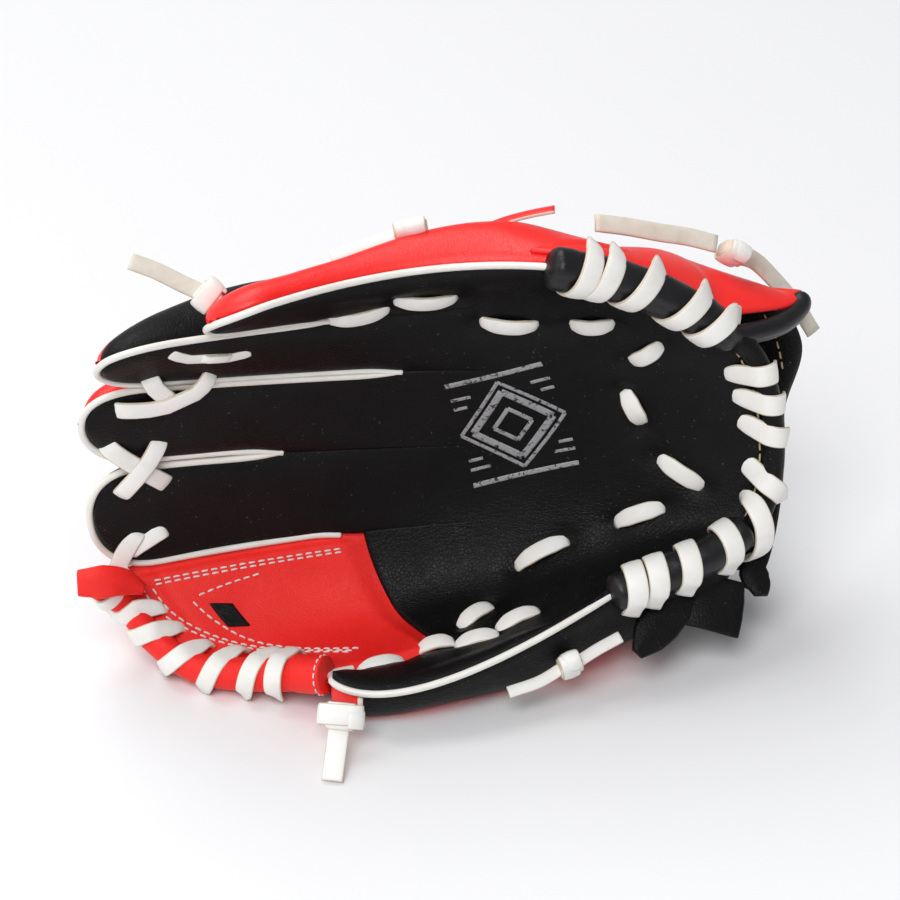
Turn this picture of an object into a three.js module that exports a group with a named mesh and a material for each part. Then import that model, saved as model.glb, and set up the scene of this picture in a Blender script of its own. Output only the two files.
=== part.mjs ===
// Youth baseball glove for the left hand, lying on its thumb and web with the fingers standing up.
// Millimetres, +Z up. +X points from the fingertips to the wrist, the pocket opens towards -Y.
//
// Every leather piece follows one surface, the palm side of the glove: u runs from the heel (0) to
// the fingertips (1), v from the outer edge of the thumb (0) to the outer edge of the pinky (7),
// one unit for each digit, and h is the height above that surface, negative inside the glove.
import * as THREE from 'three';

// ---- driving dimensions -------------------------------------------------------------------------
const LEATHER = 1.6;            // outer leather
const GAP = 0.3;                // clearance between neighbouring pieces
const PAD = 2.4;                // felt stiffener in a finger
const PALM_PAD = 4.0;           // foam behind the palm
const LINING = 0.7;             // inner cloth lining
const PIPING_RADIUS = 0.9;
const ROLL_RADIUS = 4.6;        // padded heel rolls
const WEB_ROLL_RADIUS = 4.0;    // rolled outer edge of the web
const LACE_WIDTH = 5.5;
const LACE_THICKNESS = 1.1;
const HAND_DEPTH = 29;          // room for the hand, palm surface to back panel
const SLIT_START = { 4: 0.7, 5: 0.55, 6: 0.62 };   // where the slits between the fingers begin
const PINKY_TIP = 0.86;         // the pinky ends before the other fingers
const ORIGIN = [31.55, 12, 0]; // the middle of the glove's footprint, below
const WEB_START = 0.6;          // where the palm ends and the web begins

// Heel, middle and tip point of each line that runs from the wrist to the fingertips.
const LINES = [
  [[77, -2, 33], [26, -24, 18], [-5, -22, 16]],        // outer edge of the thumb
  [[101, 8, 37], [36, 0, 14], [-9, -15, 13]],          // inner edge of the thumb
  [[113, 16, 40], [28, 22, 13], [-48, -3.5, 6.9]],     // middle of the pocket and web
  [[121, 22, 44], [22, 36, 28], [-72, 14, 26]],        // lower edge of the index finger
  [[124, 28, 61], [22, 42, 53], [-75, 14, 64]],        // index to middle finger
  [[118, 32, 88], [20, 41, 80], [-72, 12, 92]],        // middle to ring finger
  [[97, 34, 110], [16, 36, 103], [-60, 5, 110]],       // ring finger to pinky
  [[57, 26, 124], [10, 26, 121], [-40, -4, 121]],      // outer edge of the pinky
];
// The direction that the palm side faces at those points.
const FACINGS = [
  [[-0.25, -0.1, 0.95], [-0.1, -0.1, 1], [0.1, -0.1, 1]],
  [[-0.35, -0.1, 0.92], [-0.1, -0.1, 1], [0.1, -0.05, 1]],
  [[-0.4, -0.2, 0.9], [-0.05, -0.25, 0.96], [0.15, -0.15, 0.97]],
  [[-0.4, -0.6, 0.7], [0, -0.75, 0.65], [0.25, -0.65, 0.7]],
  [[-0.35, -0.92, 0.2], [0.05, -0.97, 0.2], [0.35, -0.92, 0.15]],
  [[-0.3, -0.95, 0], [0.08, -0.99, -0.1], [0.38, -0.9, -0.2]],
  [[-0.2, -0.94, -0.25], [0.12, -0.94, -0.3], [0.36, -0.8, -0.4]],
  [[-0.15, -0.85, -0.45], [0.2, -0.85, -0.45], [0.4, -0.7, -0.55]],
];

// ---- the palm surface ---------------------------------------------------------------------------
const vec = (a) => new THREE.Vector3(...a);
const smooth = THREE.MathUtils.smoothstep;

// Through the heel, middle and tip points along u.
function along([heel, middle, tip], u) {
  return vec(heel).multiplyScalar((1 - u) * (1 - 2 * u))
    .addScaledVector(vec(middle), 4 * u * (1 - u))
    .addScaledVector(vec(tip), u * (2 * u - 1));
}

// Catmull-Rom across the lines.
function across(lines, u, v) {
  const i = Math.min(Math.max(Math.floor(v), 0), lines.length - 2);
  const t = v - i;
  const b = along(lines[i], u);
  const c = along(lines[i + 1], u);
  const a = i > 0 ? along(lines[i - 1], u) : b.clone().multiplyScalar(2).sub(c);
  const d = i + 2 < lines.length ? along(lines[i + 2], u) : c.clone().multiplyScalar(2).sub(b);
  const result = b.clone().multiplyScalar(2);
  result.addScaledVector(c.clone().sub(a), t);
  result.addScaledVector(a.clone().multiplyScalar(2).addScaledVector(b, -5).addScaledVector(c, 4).sub(d), t * t);
  result.addScaledVector(b.clone().multiplyScalar(3).sub(a).addScaledVector(c, -3).add(d), t * t * t);
  return result.multiplyScalar(0.5);
}

const facing = (u, v) => across(FACINGS, u, v).normalize();

// A point h above the palm surface, never lower than floor.
function at(u, v, h = 0, floor = 0) {
  const point = across(LINES, u, v).addScaledVector(facing(u, v), h);
  point.z = Math.max(point.z, floor);
  return point;
}

const steps = (from, to, count) => Array.from({ length: count + 1 }, (_, i) => from + (to - from) * i / count);

// The u at which the line v is a distance in millimetres away from the heel edge or the web's edge.
function clearOf(edgeU, v, distance) {
  const edge = steps(0, 7, 42).map((w) => at(edgeU, w));
  for (let k = 1; k < 60; k++) {
    const u = edgeU + (edgeU ? -0.005 : 0.005) * k;
    const point = at(u, v);
    if (edge.every((e) => e.distanceTo(point) >= distance)) return u;
  }
  throw new Error(`no place ${distance} mm from the edge at v ${v}`);
}

// The crease where the thumb side folds on the finger side.
const crease = (u) => 2.55 + 0.45 * smooth(u, 0.3, 0.6);

// ---- solids -------------------------------------------------------------------------------------
// A closed solid between two grids of points. keep(i, j) says which cells are leather.
function between(rows, columns, upper, lower, keep = () => true) {
  const positions = [];
  const grid = [upper, lower].map((side) => {
    const ids = [];
    for (let i = 0; i < rows; i++) {
      for (let j = 0; j < columns; j++) {
        ids.push(positions.length / 3);
        positions.push(...side(i, j).toArray());
      }
    }
    return ids;
  });
  const id = (side, i, j) => grid[side][i * columns + j];
  const inside = (i, j) => i >= 0 && j >= 0 && i < rows - 1 && j < columns - 1 && keep(i, j);
  const faces = [];
  const quad = (a, b, c, d) => faces.push([a, b, c], [a, c, d]);
  for (let i = 0; i < rows - 1; i++) {
    for (let j = 0; j < columns - 1; j++) {
      if (!inside(i, j)) continue;
      quad(id(0, i, j), id(0, i, j + 1), id(0, i + 1, j + 1), id(0, i + 1, j));
      quad(id(1, i, j), id(1, i + 1, j), id(1, i + 1, j + 1), id(1, i, j + 1));
      const wall = (i0, j0, i1, j1) => quad(id(0, i0, j0), id(0, i1, j1), id(1, i1, j1), id(1, i0, j0));
      if (!inside(i - 1, j)) wall(i, j + 1, i, j);
      if (!inside(i + 1, j)) wall(i + 1, j, i + 1, j + 1);
      if (!inside(i, j - 1)) wall(i, j, i + 1, j);
      if (!inside(i, j + 1)) wall(i + 1, j + 1, i, j + 1);
    }
  }
  return closed(positions, faces);
}

// A geometry from points and faces, turned so that its faces point out.
function closed(positions, faces) {
  const p = (i) => new THREE.Vector3(positions[3 * i], positions[3 * i + 1], positions[3 * i + 2]);
  const volume = faces.reduce((sum, [a, b, c]) => sum + p(a).dot(p(b).cross(p(c))), 0);
  const index = faces.flatMap(([a, b, c]) => (volume > 0 ? [a, b, c] : [a, c, b]));
  const used = [...new Set(index)];
  const renumber = new Map(used.map((old, i) => [old, i]));
  const geometry = new THREE.BufferGeometry();
  geometry.setAttribute('position', new THREE.Float32BufferAttribute(used.flatMap((i) => p(i).toArray()), 3));
  geometry.setIndex(index.map((i) => renumber.get(i)));
  geometry.computeVertexNormals();
  return geometry;
}

// A sheet that follows the palm surface between two heights. us and vs are lists of u and v, and
// an entry of vs may be a function of u. heel and web keep its ends that many millimetres away
// from the heel edge and from the web's outer edge.
function sheet({ us, vs, top, bottom, floor = 0, heel = 0, web = 0, keep }) {
  const v = (i, j) => (typeof vs[j] === 'function' ? vs[j](us[i]) : vs[j]);
  const first = heel ? us.map((_, i) => vs.map((_, j) => clearOf(0, v(i, j), heel) + 0.015 * i)) : null;
  const last = web ? vs.map((_, j) => clearOf(1, v(0, j), web)) : null;
  const u = (i, j) => Math.min(Math.max(us[i], first ? first[i][j] : 0), last ? last[j] : 1);
  const height = (h, i, j) => (typeof h === 'function' ? h(u(i, j), v(i, j)) : h);
  const thickness = (i, j) => height(top, i, j) - height(bottom, i, j);
  return between(us.length, vs.length,
    (i, j) => at(u(i, j), v(i, j), height(top, i, j), floor + thickness(i, j)),
    (i, j) => at(u(i, j), v(i, j), height(bottom, i, j), floor),
    keep && ((i, j) => keep(us[i], v(i, j), v(i, j + 1))));
}

// The back of a digit: a shell with a C section, open to the palm leather.
function backShell({ us, low, high, depth, sides = 10 }) {
  const section = (i, j, inset) => {
    const u = us[i];
    const angle = Math.PI * j / sides;
    const a = typeof low === 'function' ? low(u) : low;
    const b = typeof high === 'function' ? high(u) : high;
    const width = at(u, a).distanceTo(at(u, b));
    const half = (b - a) / 2 * (1 - 2 * (inset + 1) / width);
    const seam = -(LEATHER + GAP + 0.35);
    const rise = Math.sin(angle) ** 0.75;
    const v = (a + b) / 2 - half * Math.sign(Math.cos(angle)) * Math.abs(Math.cos(angle)) ** 0.8;
    return at(u, v, seam - (depth(u) + seam - inset) * rise, inset);
  };
  return between(us.length, sides + 1, (i, j) => section(i, j, LEATHER), (i, j) => section(i, j, 0));
}

// A round cord or roll along a curve.
function cord(points, radius, count, sides = 8) {
  const curve = new THREE.CatmullRomCurve3(points, false, 'centripetal');
  const circle = new THREE.Shape();
  for (let i = 0; i < sides; i++) {
    const angle = 2 * Math.PI * i / sides;
    circle[i ? 'lineTo' : 'moveTo'](radius * Math.cos(angle), radius * Math.sin(angle));
  }
  circle.closePath();
  return new THREE.ExtrudeGeometry(circle, { steps: count, bevelEnabled: false, extrudePath: curve });
}

// A flat lace along points, each with the direction that its face looks in.
function lace(points, faces, { width = LACE_WIDTH, thickness = LACE_THICKNESS } = {}) {
  const last = points.length - 1;
  const side = (i) => {
    const tangent = points[Math.min(i + 1, last)].clone().sub(points[Math.max(i - 1, 0)]).normalize();
    return tangent.cross(faces[i]).normalize();
  };
  const point = (i, j, lift) => points[i].clone()
    .addScaledVector(side(i), (j - 0.5) * width)
    .addScaledVector(faces[i].clone().normalize(), lift * thickness / 2);
  return between(points.length, 2, (i, j) => point(i, j, 1), (i, j) => point(i, j, -1));
}

// A flat lace on the palm surface, through a few [u, v] pairs, at height h.
function surfaceLace(route, h, count, options) {
  const curve = new THREE.CatmullRomCurve3(route.map(([u, v]) => new THREE.Vector3(u, v, 0)));
  const places = curve.getPoints(count);
  return lace(places.map((p) => at(p.x, p.y, h)), places.map((p) => facing(p.x, p.y)), options);
}

// A flat lace wound round a curve.
function winding(points, radius, turns, { width = LACE_WIDTH, perTurn = 9, from = 0, to = 1 } = {}) {
  const curve = new THREE.CatmullRomCurve3(points, false, 'centripetal');
  const count = Math.round(turns * perTurn);
  const frames = curve.computeFrenetFrames(200);
  const middle = radius + GAP + LACE_THICKNESS / 2;
  const centre = (t) => curve.getPointAt(t);
  const outward = (t, angle) => {
    const k = Math.round(t * 200);
    return frames.normals[k].clone().multiplyScalar(Math.cos(angle))
      .addScaledVector(frames.binormals[k], Math.sin(angle));
  };
  const half = width / 2 / curve.getLength();
  const point = (i, j, lift) => {
    const angle = 2 * Math.PI * turns * i / count;
    const t = THREE.MathUtils.clamp(from + (to - from) * i / count + (j - 0.5) * 2 * half, 0, 1);
    return centre(t).addScaledVector(outward(t, angle), middle / Math.cos(Math.PI / perTurn) + lift);
  };
  const thick = LACE_THICKNESS / 2;
  return between(count + 1, 2, (i, j) => point(i, j, thick), (i, j) => point(i, j, -thick));
}

// ---- materials and assembly ---------------------------------------------------------------------
const finishes = {
  black: { color: 0x1c1c1f, roughness: 0.5, metalness: 0 },
  gloss: { color: 0x111114, roughness: 0.28, metalness: 0 },
  red: { color: 0xd8262b, roughness: 0.45, metalness: 0 },
  white: { color: 0xe9e4da, roughness: 0.5, metalness: 0 },
  foam: { color: 0x8d8a84, roughness: 0.95, metalness: 0 },
  cloth: { color: 0x2a2a2e, roughness: 0.95, metalness: 0 },
  silver: { color: 0x9a9b9d, roughness: 0.4, metalness: 0.3 },
};
const glove = new THREE.Group();
glove.position.set(...ORIGIN.map((x) => -x));
function add(name, finish, geometry) {
  const mesh = new THREE.Mesh(geometry, new THREE.MeshStandardMaterial(finishes[finish]));
  mesh.name = name;
  glove.add(mesh);
}

// ---- palm side ----------------------------------------------------------------------------------
const EDGE = 0.125;                         // leather edge to the seam line, in units of v
const HEEL_CLEAR = ROLL_RADIUS + 3.2;      // leather edge to the middle of the heel roll
const FINGERS = { index: 3, middle: 4, ring: 5, pinky: 6 };
const TIP = 0.98;

const palmRows = [0, 0.1, 0.19, 0.28, 0.37, 0.46, 0.55, 0.62, 0.7, 0.78, 0.86, 0.93, TIP];
const padRows = palmRows.slice(1, 5);
const palmColumns = [(u) => crease(u) + EDGE, (u) => crease(u) + EDGE + 0.28, 3.6,
  4 - EDGE, 4 + EDGE, 4.5, 5 - EDGE, 5 + EDGE, 5.5, 6 - EDGE, 6 + EDGE, 6.5, 6.75, 7 - EDGE];

const inSlit = (u, v0, v1) => [4, 5, 6].some((k) => v0 < k && v1 > k && u >= SLIT_START[k]);
add('palm_leather', 'black', sheet({
  us: palmRows, vs: palmColumns, top: 0, bottom: -LEATHER, heel: HEEL_CLEAR,
  keep: (u, v0, v1) => !inSlit(u, v0, v1) && (u < PINKY_TIP || v1 < 6.1),
}));

const thumbColumns = [EDGE, 0.4, 0.75, 1.05, 1.4, 1.8, 2.15, (u) => crease(u) - EDGE];
const thumbRows = [0, 0.12, 0.24, 0.36, 0.48, WEB_START, 0.7, 0.8, 0.9, TIP];
add('thumb_leather', 'black', sheet({
  us: thumbRows, vs: thumbColumns, top: 0, bottom: -LEATHER, heel: HEEL_CLEAR,
  keep: (u, v0) => u < WEB_START || v0 < 1,
}));

// Foam and lining behind the palm, felt in each finger.
const PAD_TOP = -LEATHER - GAP;
const PALM_PAD_BOTTOM = PAD_TOP - PALM_PAD;
add('palm_pad', 'foam', sheet({
  us: padRows, vs: palmColumns.slice(1, 10), top: PAD_TOP, bottom: PALM_PAD_BOTTOM,
}));
add('palm_lining', 'cloth', sheet({
  us: padRows, vs: palmColumns.slice(1, 10), top: PALM_PAD_BOTTOM - GAP, bottom: PALM_PAD_BOTTOM - GAP - LINING,
}));
add('pinky_heel_pad', 'foam', sheet({
  us: padRows, vs: palmColumns.slice(10, 13), top: PAD_TOP, bottom: PALM_PAD_BOTTOM, heel: HEEL_CLEAR + 4,
}));
add('thumb_heel_pad', 'foam', sheet({
  us: thumbRows.slice(1, 4), vs: thumbColumns.slice(2, 6), top: PAD_TOP, bottom: PALM_PAD_BOTTOM,
  heel: HEEL_CLEAR + 4,
}));

const digits = { thumb: 0, ...FINGERS };
for (const [name, k] of Object.entries(digits)) {
  const end = name === 'pinky' || name === 'thumb' ? 0.78 : 0.84;
  add(`${name}_stiffener`, 'foam', sheet({
    us: steps(0.52, end, 5), vs: [k + 0.24, k + 0.5, k + 0.76], top: PAD_TOP, bottom: PAD_TOP - PAD,
  }));
}

// ---- backs of the digits ------------------------------------------------------------------------
const tipRound = (u, tip = 1) => Math.sqrt(Math.max(1 - (Math.max(u - tip + 0.16, 0) / 0.165) ** 2, 0.08));
const fingerDepth = (u) => (19 - 8 * u * u) * tipRound(u) + 1.5;
const pinkyDepth = (u) => (12 + 8 * smooth(u, 0, 0.22) - 10.5 * smooth(u, 0.25, 0.75))
  * tipRound(u, PINKY_TIP + 0.02) + 2;
const thumbDepth = (u) => 13 * tipRound(u) + 1.5 + 6 * (1 - smooth(u, 0.3, 0.6));
const backRows = [0.44, 0.54, 0.64, 0.74, 0.82, 0.88, 0.93, 0.97];
for (const name of ['index', 'middle', 'ring']) {
  add(`${name}_back`, name === 'middle' ? 'red' : 'black', backShell({
    us: backRows, low: FINGERS[name], high: FINGERS[name] + 1, depth: fingerDepth,
  }));
}
const longRows = [0.08, 0.15, 0.25, 0.35, 0.45, 0.55, 0.65, 0.75, 0.83, 0.9, TIP];
add('pinky_back', 'red', backShell({
  us: longRows.map((u) => u * PINKY_TIP / TIP), low: 6, high: 7, depth: pinkyDepth,
}));
add('thumb_back', 'black', backShell({
  us: longRows, low: 0, high: (u) => 1.1 + 0.9 * (1 - smooth(u, 0.4, WEB_START)), depth: thumbDepth,
}));

// ---- back of the hand ---------------------------------------------------------------------------
const handDepth = (u, v) => HAND_DEPTH * (1 - 0.22 * smooth(v, 4.8, 6)) * (1 - 0.12 * smooth(u, 0.3, 0.42));
const backOuter = (u, v) => -handDepth(u, v);
add('knuckle_panel', 'black', sheet({
  us: [0.2, 0.27, 0.34, 0.41], vs: [2.1, 2.4, 2.7, 3, 3.4, 3.9, 4.5, 5.1, 5.5, 5.9],
  top: (u, v) => backOuter(u, v) + LEATHER, bottom: backOuter,
}));
add('back_lining', 'cloth', sheet({
  us: [0.2, 0.27, 0.34, 0.41], vs: [2.7, 3, 3.4, 3.9, 4.5, 5.1, 5.5, 5.9],
  top: (u, v) => backOuter(u, v) + LEATHER + GAP + LINING, bottom: (u, v) => backOuter(u, v) + LEATHER + GAP,
  floor: LEATHER + GAP,
}));
add('wrist_band', 'black', sheet({
  us: [0, 0.03, 0.06, 0.09], vs: [2.4, 2.7, 3, 3.5, 4, 4.5, 4.9],
  top: (u, v) => backOuter(u, v) + 4.2, bottom: backOuter,
}));
add('closure_tab', 'black', sheet({
  us: [0.1, 0.15, 0.19], vs: [2.4, 2.7, 3, 3.3, 3.6, 3.9],
  top: (u, v) => backOuter(u, v) + LEATHER, bottom: backOuter,
}));

// A piece that lies outside the back of the hand, between two clearances from it.
const overBack = (vs, near, far, us = [0.1, 0.15, 0.19]) => sheet({
  us, vs, top: (u, v) => backOuter(u, v) - near, bottom: (u, v) => backOuter(u, v) - far,
});
const PATCH = 0.9;              // thickness of each half of the hook-and-loop closure
const STRAP_IN = 2 * (PATCH + GAP) + GAP;
const STRAP_OUT = STRAP_IN + 1.6;
const strapColumns = [3, 3.3, 3.6, 3.9, 4.3, 4.7, 5.1, 5.4];
add('loop_patch', 'cloth', overBack(strapColumns.slice(0, 4), GAP, GAP + PATCH, [0.11, 0.15, 0.18]));
add('hook_patch', 'cloth', overBack(strapColumns.slice(0, 4), 2 * GAP + PATCH, 2 * (GAP + PATCH), [0.11, 0.15, 0.18]));
add('wrist_strap', 'black', overBack(strapColumns, STRAP_IN, STRAP_OUT));

// The red wall that closes the pinky side of the hand, from the heel roll round to the back.
const ROLL_CLEAR = ROLL_RADIUS + LACE_THICKNESS + 3 * GAP + 1;
const wallPlaces = [
  ...steps(6.85, 5.75, 4).map((v) => ({ base: at(0, v), v, depth: 18.5 + 6 * (1 - smooth(v, 5.5, 6.1)) })),
  { base: vec([122, 44, 100]), v: 5.6, depth: 20 },
  { base: vec([128, 52, 98]), v: 5.5, depth: 14 },
];
function wallPoint({ base, v, depth }, s, lift) {
  const inward = at(0.02, v).sub(at(0, v)).normalize();
  const reach = at(0.075, v).distanceTo(at(0, v));
  const angle = s * Math.PI / 2;
  const h = -ROLL_CLEAR - (depth - ROLL_CLEAR + lift) * Math.sin(angle);
  return base.clone().addScaledVector(facing(0, v), h)
    .addScaledVector(inward, reach * (1 - Math.cos(angle)) - (1 + lift) * Math.cos(angle));
}
add('pinky_side_panel', 'red', between(wallPlaces.length, 6,
  (i, j) => wallPoint(wallPlaces[i], j / 5, LEATHER), (i, j) => wallPoint(wallPlaces[i], j / 5, 0)));

// ---- web ----------------------------------------------------------------------------------------
const WEB_CLEAR = WEB_ROLL_RADIUS + LACE_THICKNESS + 3 * GAP + 0.6;
const webRows = steps(WEB_START + 0.02, 0.96, 6);
const webColumns = [1.2, 1.5, 1.8, 2.1, 2.4, 2.7, 2.9];
add('web_panel', 'red', sheet({
  us: webRows, vs: webColumns, top: 0, bottom: -LEATHER, web: WEB_CLEAR,
}));
add('web_backing', 'red', sheet({
  us: webRows, vs: webColumns, top: -LEATHER - GAP, bottom: -LEATHER - GAP - 1.2, web: WEB_CLEAR,
}));
add('web_patch', 'black', sheet({ us: [0.76, 0.82], vs: [2.1, 2.35], top: GAP + 0.8, bottom: GAP + 0.3 }));
const webEdge = [vec([-76, 4, 31]), ...steps(2.7, 1.18, 8).map((v) => at(1, v, -0.8))];
add('web_roll', 'red', cord(webEdge, WEB_ROLL_RADIUS, 20));
add('web_lace', 'white', winding(webEdge, WEB_ROLL_RADIUS, 7, { from: 0.12, to: 0.9 }));

// ---- heel ---------------------------------------------------------------------------------------
const heelPoints = (from, to, count) => steps(from, to, count).map((v) => at(0, v, -1));
const pinkyRoll = [...heelPoints(6.95, 5.7, 5), vec([125, 46, 97]), vec([132, 56, 93])];
add('pinky_heel_roll', 'gloss', cord(pinkyRoll, ROLL_RADIUS, 18));
add('heel_binding', 'black', cord(heelPoints(5.15, 2.95, 8), 2.2, 14));
add('thumb_heel_roll', 'gloss', cord(heelPoints(2.35, 0.1, 8), ROLL_RADIUS, 16));
add('pinky_heel_lace', 'white', winding(pinkyRoll, ROLL_RADIUS, 4, { from: 0.1, to: 0.6 }));
add('middle_heel_lace', 'white', winding(heelPoints(5.15, 2.95, 8), 2.2, 5, { from: 0.08, to: 0.92, perTurn: 7 }));
add('thumb_heel_lace', 'white', winding(heelPoints(2.35, 0.1, 8), ROLL_RADIUS, 5, { from: 0.08, to: 0.86 }));

// ---- piping -------------------------------------------------------------------------------------
const PIPING_H = -0.9;
const SIDE = 0.052;
function piping(k, start, end, tipU = 1) {
  const low = steps(start, tipU - 0.03, 6).map((u) => at(u, k + SIDE, PIPING_H));
  const tip = [0.2, 0.5, 0.8].map((t) => at(tipU + 0.005, k + t, PIPING_H));
  const high = steps(tipU - 0.03, end, 6).map((u) => at(u, k + 1 - SIDE, PIPING_H));
  return cord([...low, ...tip, ...high], PIPING_RADIUS, 34, 6);
}
add('index_piping', 'white', piping(3, 0.66, 0.72));
add('middle_piping', 'white', piping(4, 0.72, 0.57));
add('ring_piping', 'white', piping(5, 0.57, 0.64));
add('pinky_piping', 'white', piping(6, 0.64, clearOf(0, 7, ROLL_RADIUS + 3), PINKY_TIP + 0.02));
add('thumb_piping', 'white', cord([
  ...steps(0.1, 0.97, 9).map((u) => at(u, -0.03 - 0.11 * u * u, PIPING_H)),
], PIPING_RADIUS, 26, 6));

// ---- laces on the palm side ---------------------------------------------------------------------
const ON_TOP = 1.3 + LACE_THICKNESS / 2;
add('palm_lace', 'white', surfaceLace([[0.62, 6.1], [0.45, 6.15], [0.25, 5.75], [0.14, 5.4], [0.12, 4.7],
  [0.11, 4], [0.15, 3.4], [0.3, 3]], ON_TOP, 30));
add('thumb_lace', 'white', surfaceLace([[0.14, 2.1], [0.3, 1.35], [0.5, 0.85], [0.75, 0.8], [0.93, 0.7]], ON_TOP, 18));
for (const [name, k, u] of [['pinky_ring', 6, 0.76], ['ring_middle', 5, 0.9], ['middle_index', 4, 0.9]]) {
  add(`${name}_lace`, 'white', surfaceLace([[u, k - 0.35], [u - 0.02, k], [u, k + 0.35]], ON_TOP + 0.7, 6));
}
add('index_lace', 'white', surfaceLace([[0.93, 3.25], [0.86, 3.5], [0.78, 3.55]], ON_TOP + 0.5, 6));
add('palm_mark', 'silver', sheet({
  us: palmRows.slice(3, 6), vs: palmColumns.slice(3, 7), top: GAP + 0.4, bottom: GAP,
}));


// ---- knots, tails and tabs ----------------------------------------------------------------------
function knot(name, centre, size = [9, 6, 5]) {
  const geometry = new THREE.SphereGeometry(0.5, 8, 6).scale(...size).translate(...centre);
  add(name, 'white', geometry);
}
const flat = (points, face, options) => {
  const curve = new THREE.CatmullRomCurve3(points.map(vec));
  const places = curve.getPoints(8);
  return lace(places, places.map(() => vec(face)), options);
};
knot('ring_knot', [-39, 26, 118]);
add('ring_tail', 'white', flat([[-45, 27.5, 121], [-52, 29, 124], [-60, 30, 126]], [0, -0.6, 0.8]));
knot('pinky_knot', [18, 48, 127], [13, 6, 5]);
add('pinky_loop_tab', 'red', flat([[42, 52, 127.9], [50, 52.2, 129], [58, 52.2, 129.8]], [0.1, -0.4, 0.92], { width: 4.5 }));
add('wrist_tail', 'white', flat([[71, 54.5, 123], [90, 57.5, 118], [107, 59.5, 113]], [0.2, -0.7, 0.7]));
knot('wrist_knot', [113, 59.5, 109], [10, 6, 6]);
add('wrist_lace', 'white', flat([[122, 69, 106], [134, 68, 96], [140, 62, 84]], [0.5, -0.6, 0.6]));
knot('thumb_knot', [-2, -32, 12], [10, 6, 6]);
add('thumb_tail', 'white', flat([[-2, -36, 10], [-3, -42, 6], [-4, -48, 1.2]], [0, -0.55, 0.83]));
knot('thumb_back_knot', [64, -13, 14], [9, 6, 5]);
add('heel_tab_pointed', 'black', flat([[96, 6, 25], [90, -1, 20], [84, -9, 16]], [0.3, -0.5, 0.8], { width: 10 }));
add('heel_tab_square', 'black', flat([[108, 12, 25], [107, 6, 21], [106, 1, 17]], [0.1, -0.6, 0.8], { width: 17 }));
add('heel_tab_small', 'black', flat([[120, 20, 25], [121, 15, 22], [121, 11, 19]], [0.1, -0.6, 0.8], { width: 7 }));

export default glove;
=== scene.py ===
"""Looks of a youth baseball glove lying on its thumb and web, pocket towards the camera.

Every leather piece follows the palm surface of the CAD part, repeated here: u runs from the heel
(0) to the fingertips (1), v from the outer edge of the thumb (0) to the outer edge of the pinky
(7), one unit for each digit, and h is the height above the surface. Layout sizes are millimetres;
meshes are in metres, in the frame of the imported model.
"""

import bpy
import numpy as np
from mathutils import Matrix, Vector


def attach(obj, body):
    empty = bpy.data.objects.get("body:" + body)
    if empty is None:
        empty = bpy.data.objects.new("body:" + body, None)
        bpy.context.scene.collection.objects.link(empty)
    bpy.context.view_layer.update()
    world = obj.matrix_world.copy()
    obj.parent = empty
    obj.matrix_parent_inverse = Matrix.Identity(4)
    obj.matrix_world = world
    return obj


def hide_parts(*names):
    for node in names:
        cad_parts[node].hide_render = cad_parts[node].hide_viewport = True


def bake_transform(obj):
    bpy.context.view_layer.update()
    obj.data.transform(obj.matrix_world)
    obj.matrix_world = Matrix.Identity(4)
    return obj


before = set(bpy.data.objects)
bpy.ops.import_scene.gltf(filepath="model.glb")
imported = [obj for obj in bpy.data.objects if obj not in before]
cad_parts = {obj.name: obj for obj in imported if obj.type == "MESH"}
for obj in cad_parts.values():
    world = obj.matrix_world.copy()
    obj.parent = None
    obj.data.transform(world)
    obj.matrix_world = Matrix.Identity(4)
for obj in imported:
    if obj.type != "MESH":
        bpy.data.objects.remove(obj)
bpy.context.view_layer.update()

MM = 0.001
ORIGIN = np.array([31.55, 12.0, 0.0])      # middle of the glove's footprint
THUMB_SIDE, FINGER_SIDE, STRAP = "thumb_side", "finger_side", "strap"

# ---- driving sizes, millimetres -----------------------------------------------------------------
LEATHER = 1.6
LACE_WIDTH = 5.5
WIDE_LACE = 6.3
LACE_THICKNESS = 1.15
HAND_THICKNESS = 29                        # from the palm surface to the back, over the hand
FINGER_THICKNESS = 17.5                    # the same at the root of the fingers
STRAP_GAP = 2.7                            # between the hand's back and the strap, over the closure
STRAP_THICKNESS = 1.6
PIPING_RADIUS = 1.05
PIPING_H = -0.8
ROLL_RADIUS = 5.7
PINKY_ROLL_RADIUS = 6.3
BINDING_RADIUS = 3.2
WEB_ROLL_RADIUS = 4.0
WELD_DISTANCE = 0.002
CLEAR_OF_FLOOR = 0.3                       # the lowest that a wound lace may reach
WEB_START = 0.6                            # where the palm ends and the web begins
SEAM = 0.055                               # half of a slit between fingers, in units of v
SLITS = {3: WEB_START, 4: 0.70, 5: 0.51, 6: 0.62}
TIPS = {0: 1.0, 3: 1.0, 4: 1.0, 5: 1.0, 6: 0.88}
ROUNDING = {0: 0.10, 3: 0.095, 4: 0.10, 5: 0.11, 6: 0.10}   # length of each rounded tip, in u
WEBBED = (1, 2)                            # lanes that end at the web and have no digit
DIGITS = {"thumb": 0, "index": 3, "middle": 4, "ring": 5, "pinky": 6}
THUMB, PINKY = DIGITS["thumb"], DIGITS["pinky"]
PALM_RIPPLE = (0.35, 14)                   # height and wavelength of the palm's unevenness
PALM_CROWN, THUMB_CROWN = 1.3, 2.0         # how far the padding lifts the middle of each digit

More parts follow.
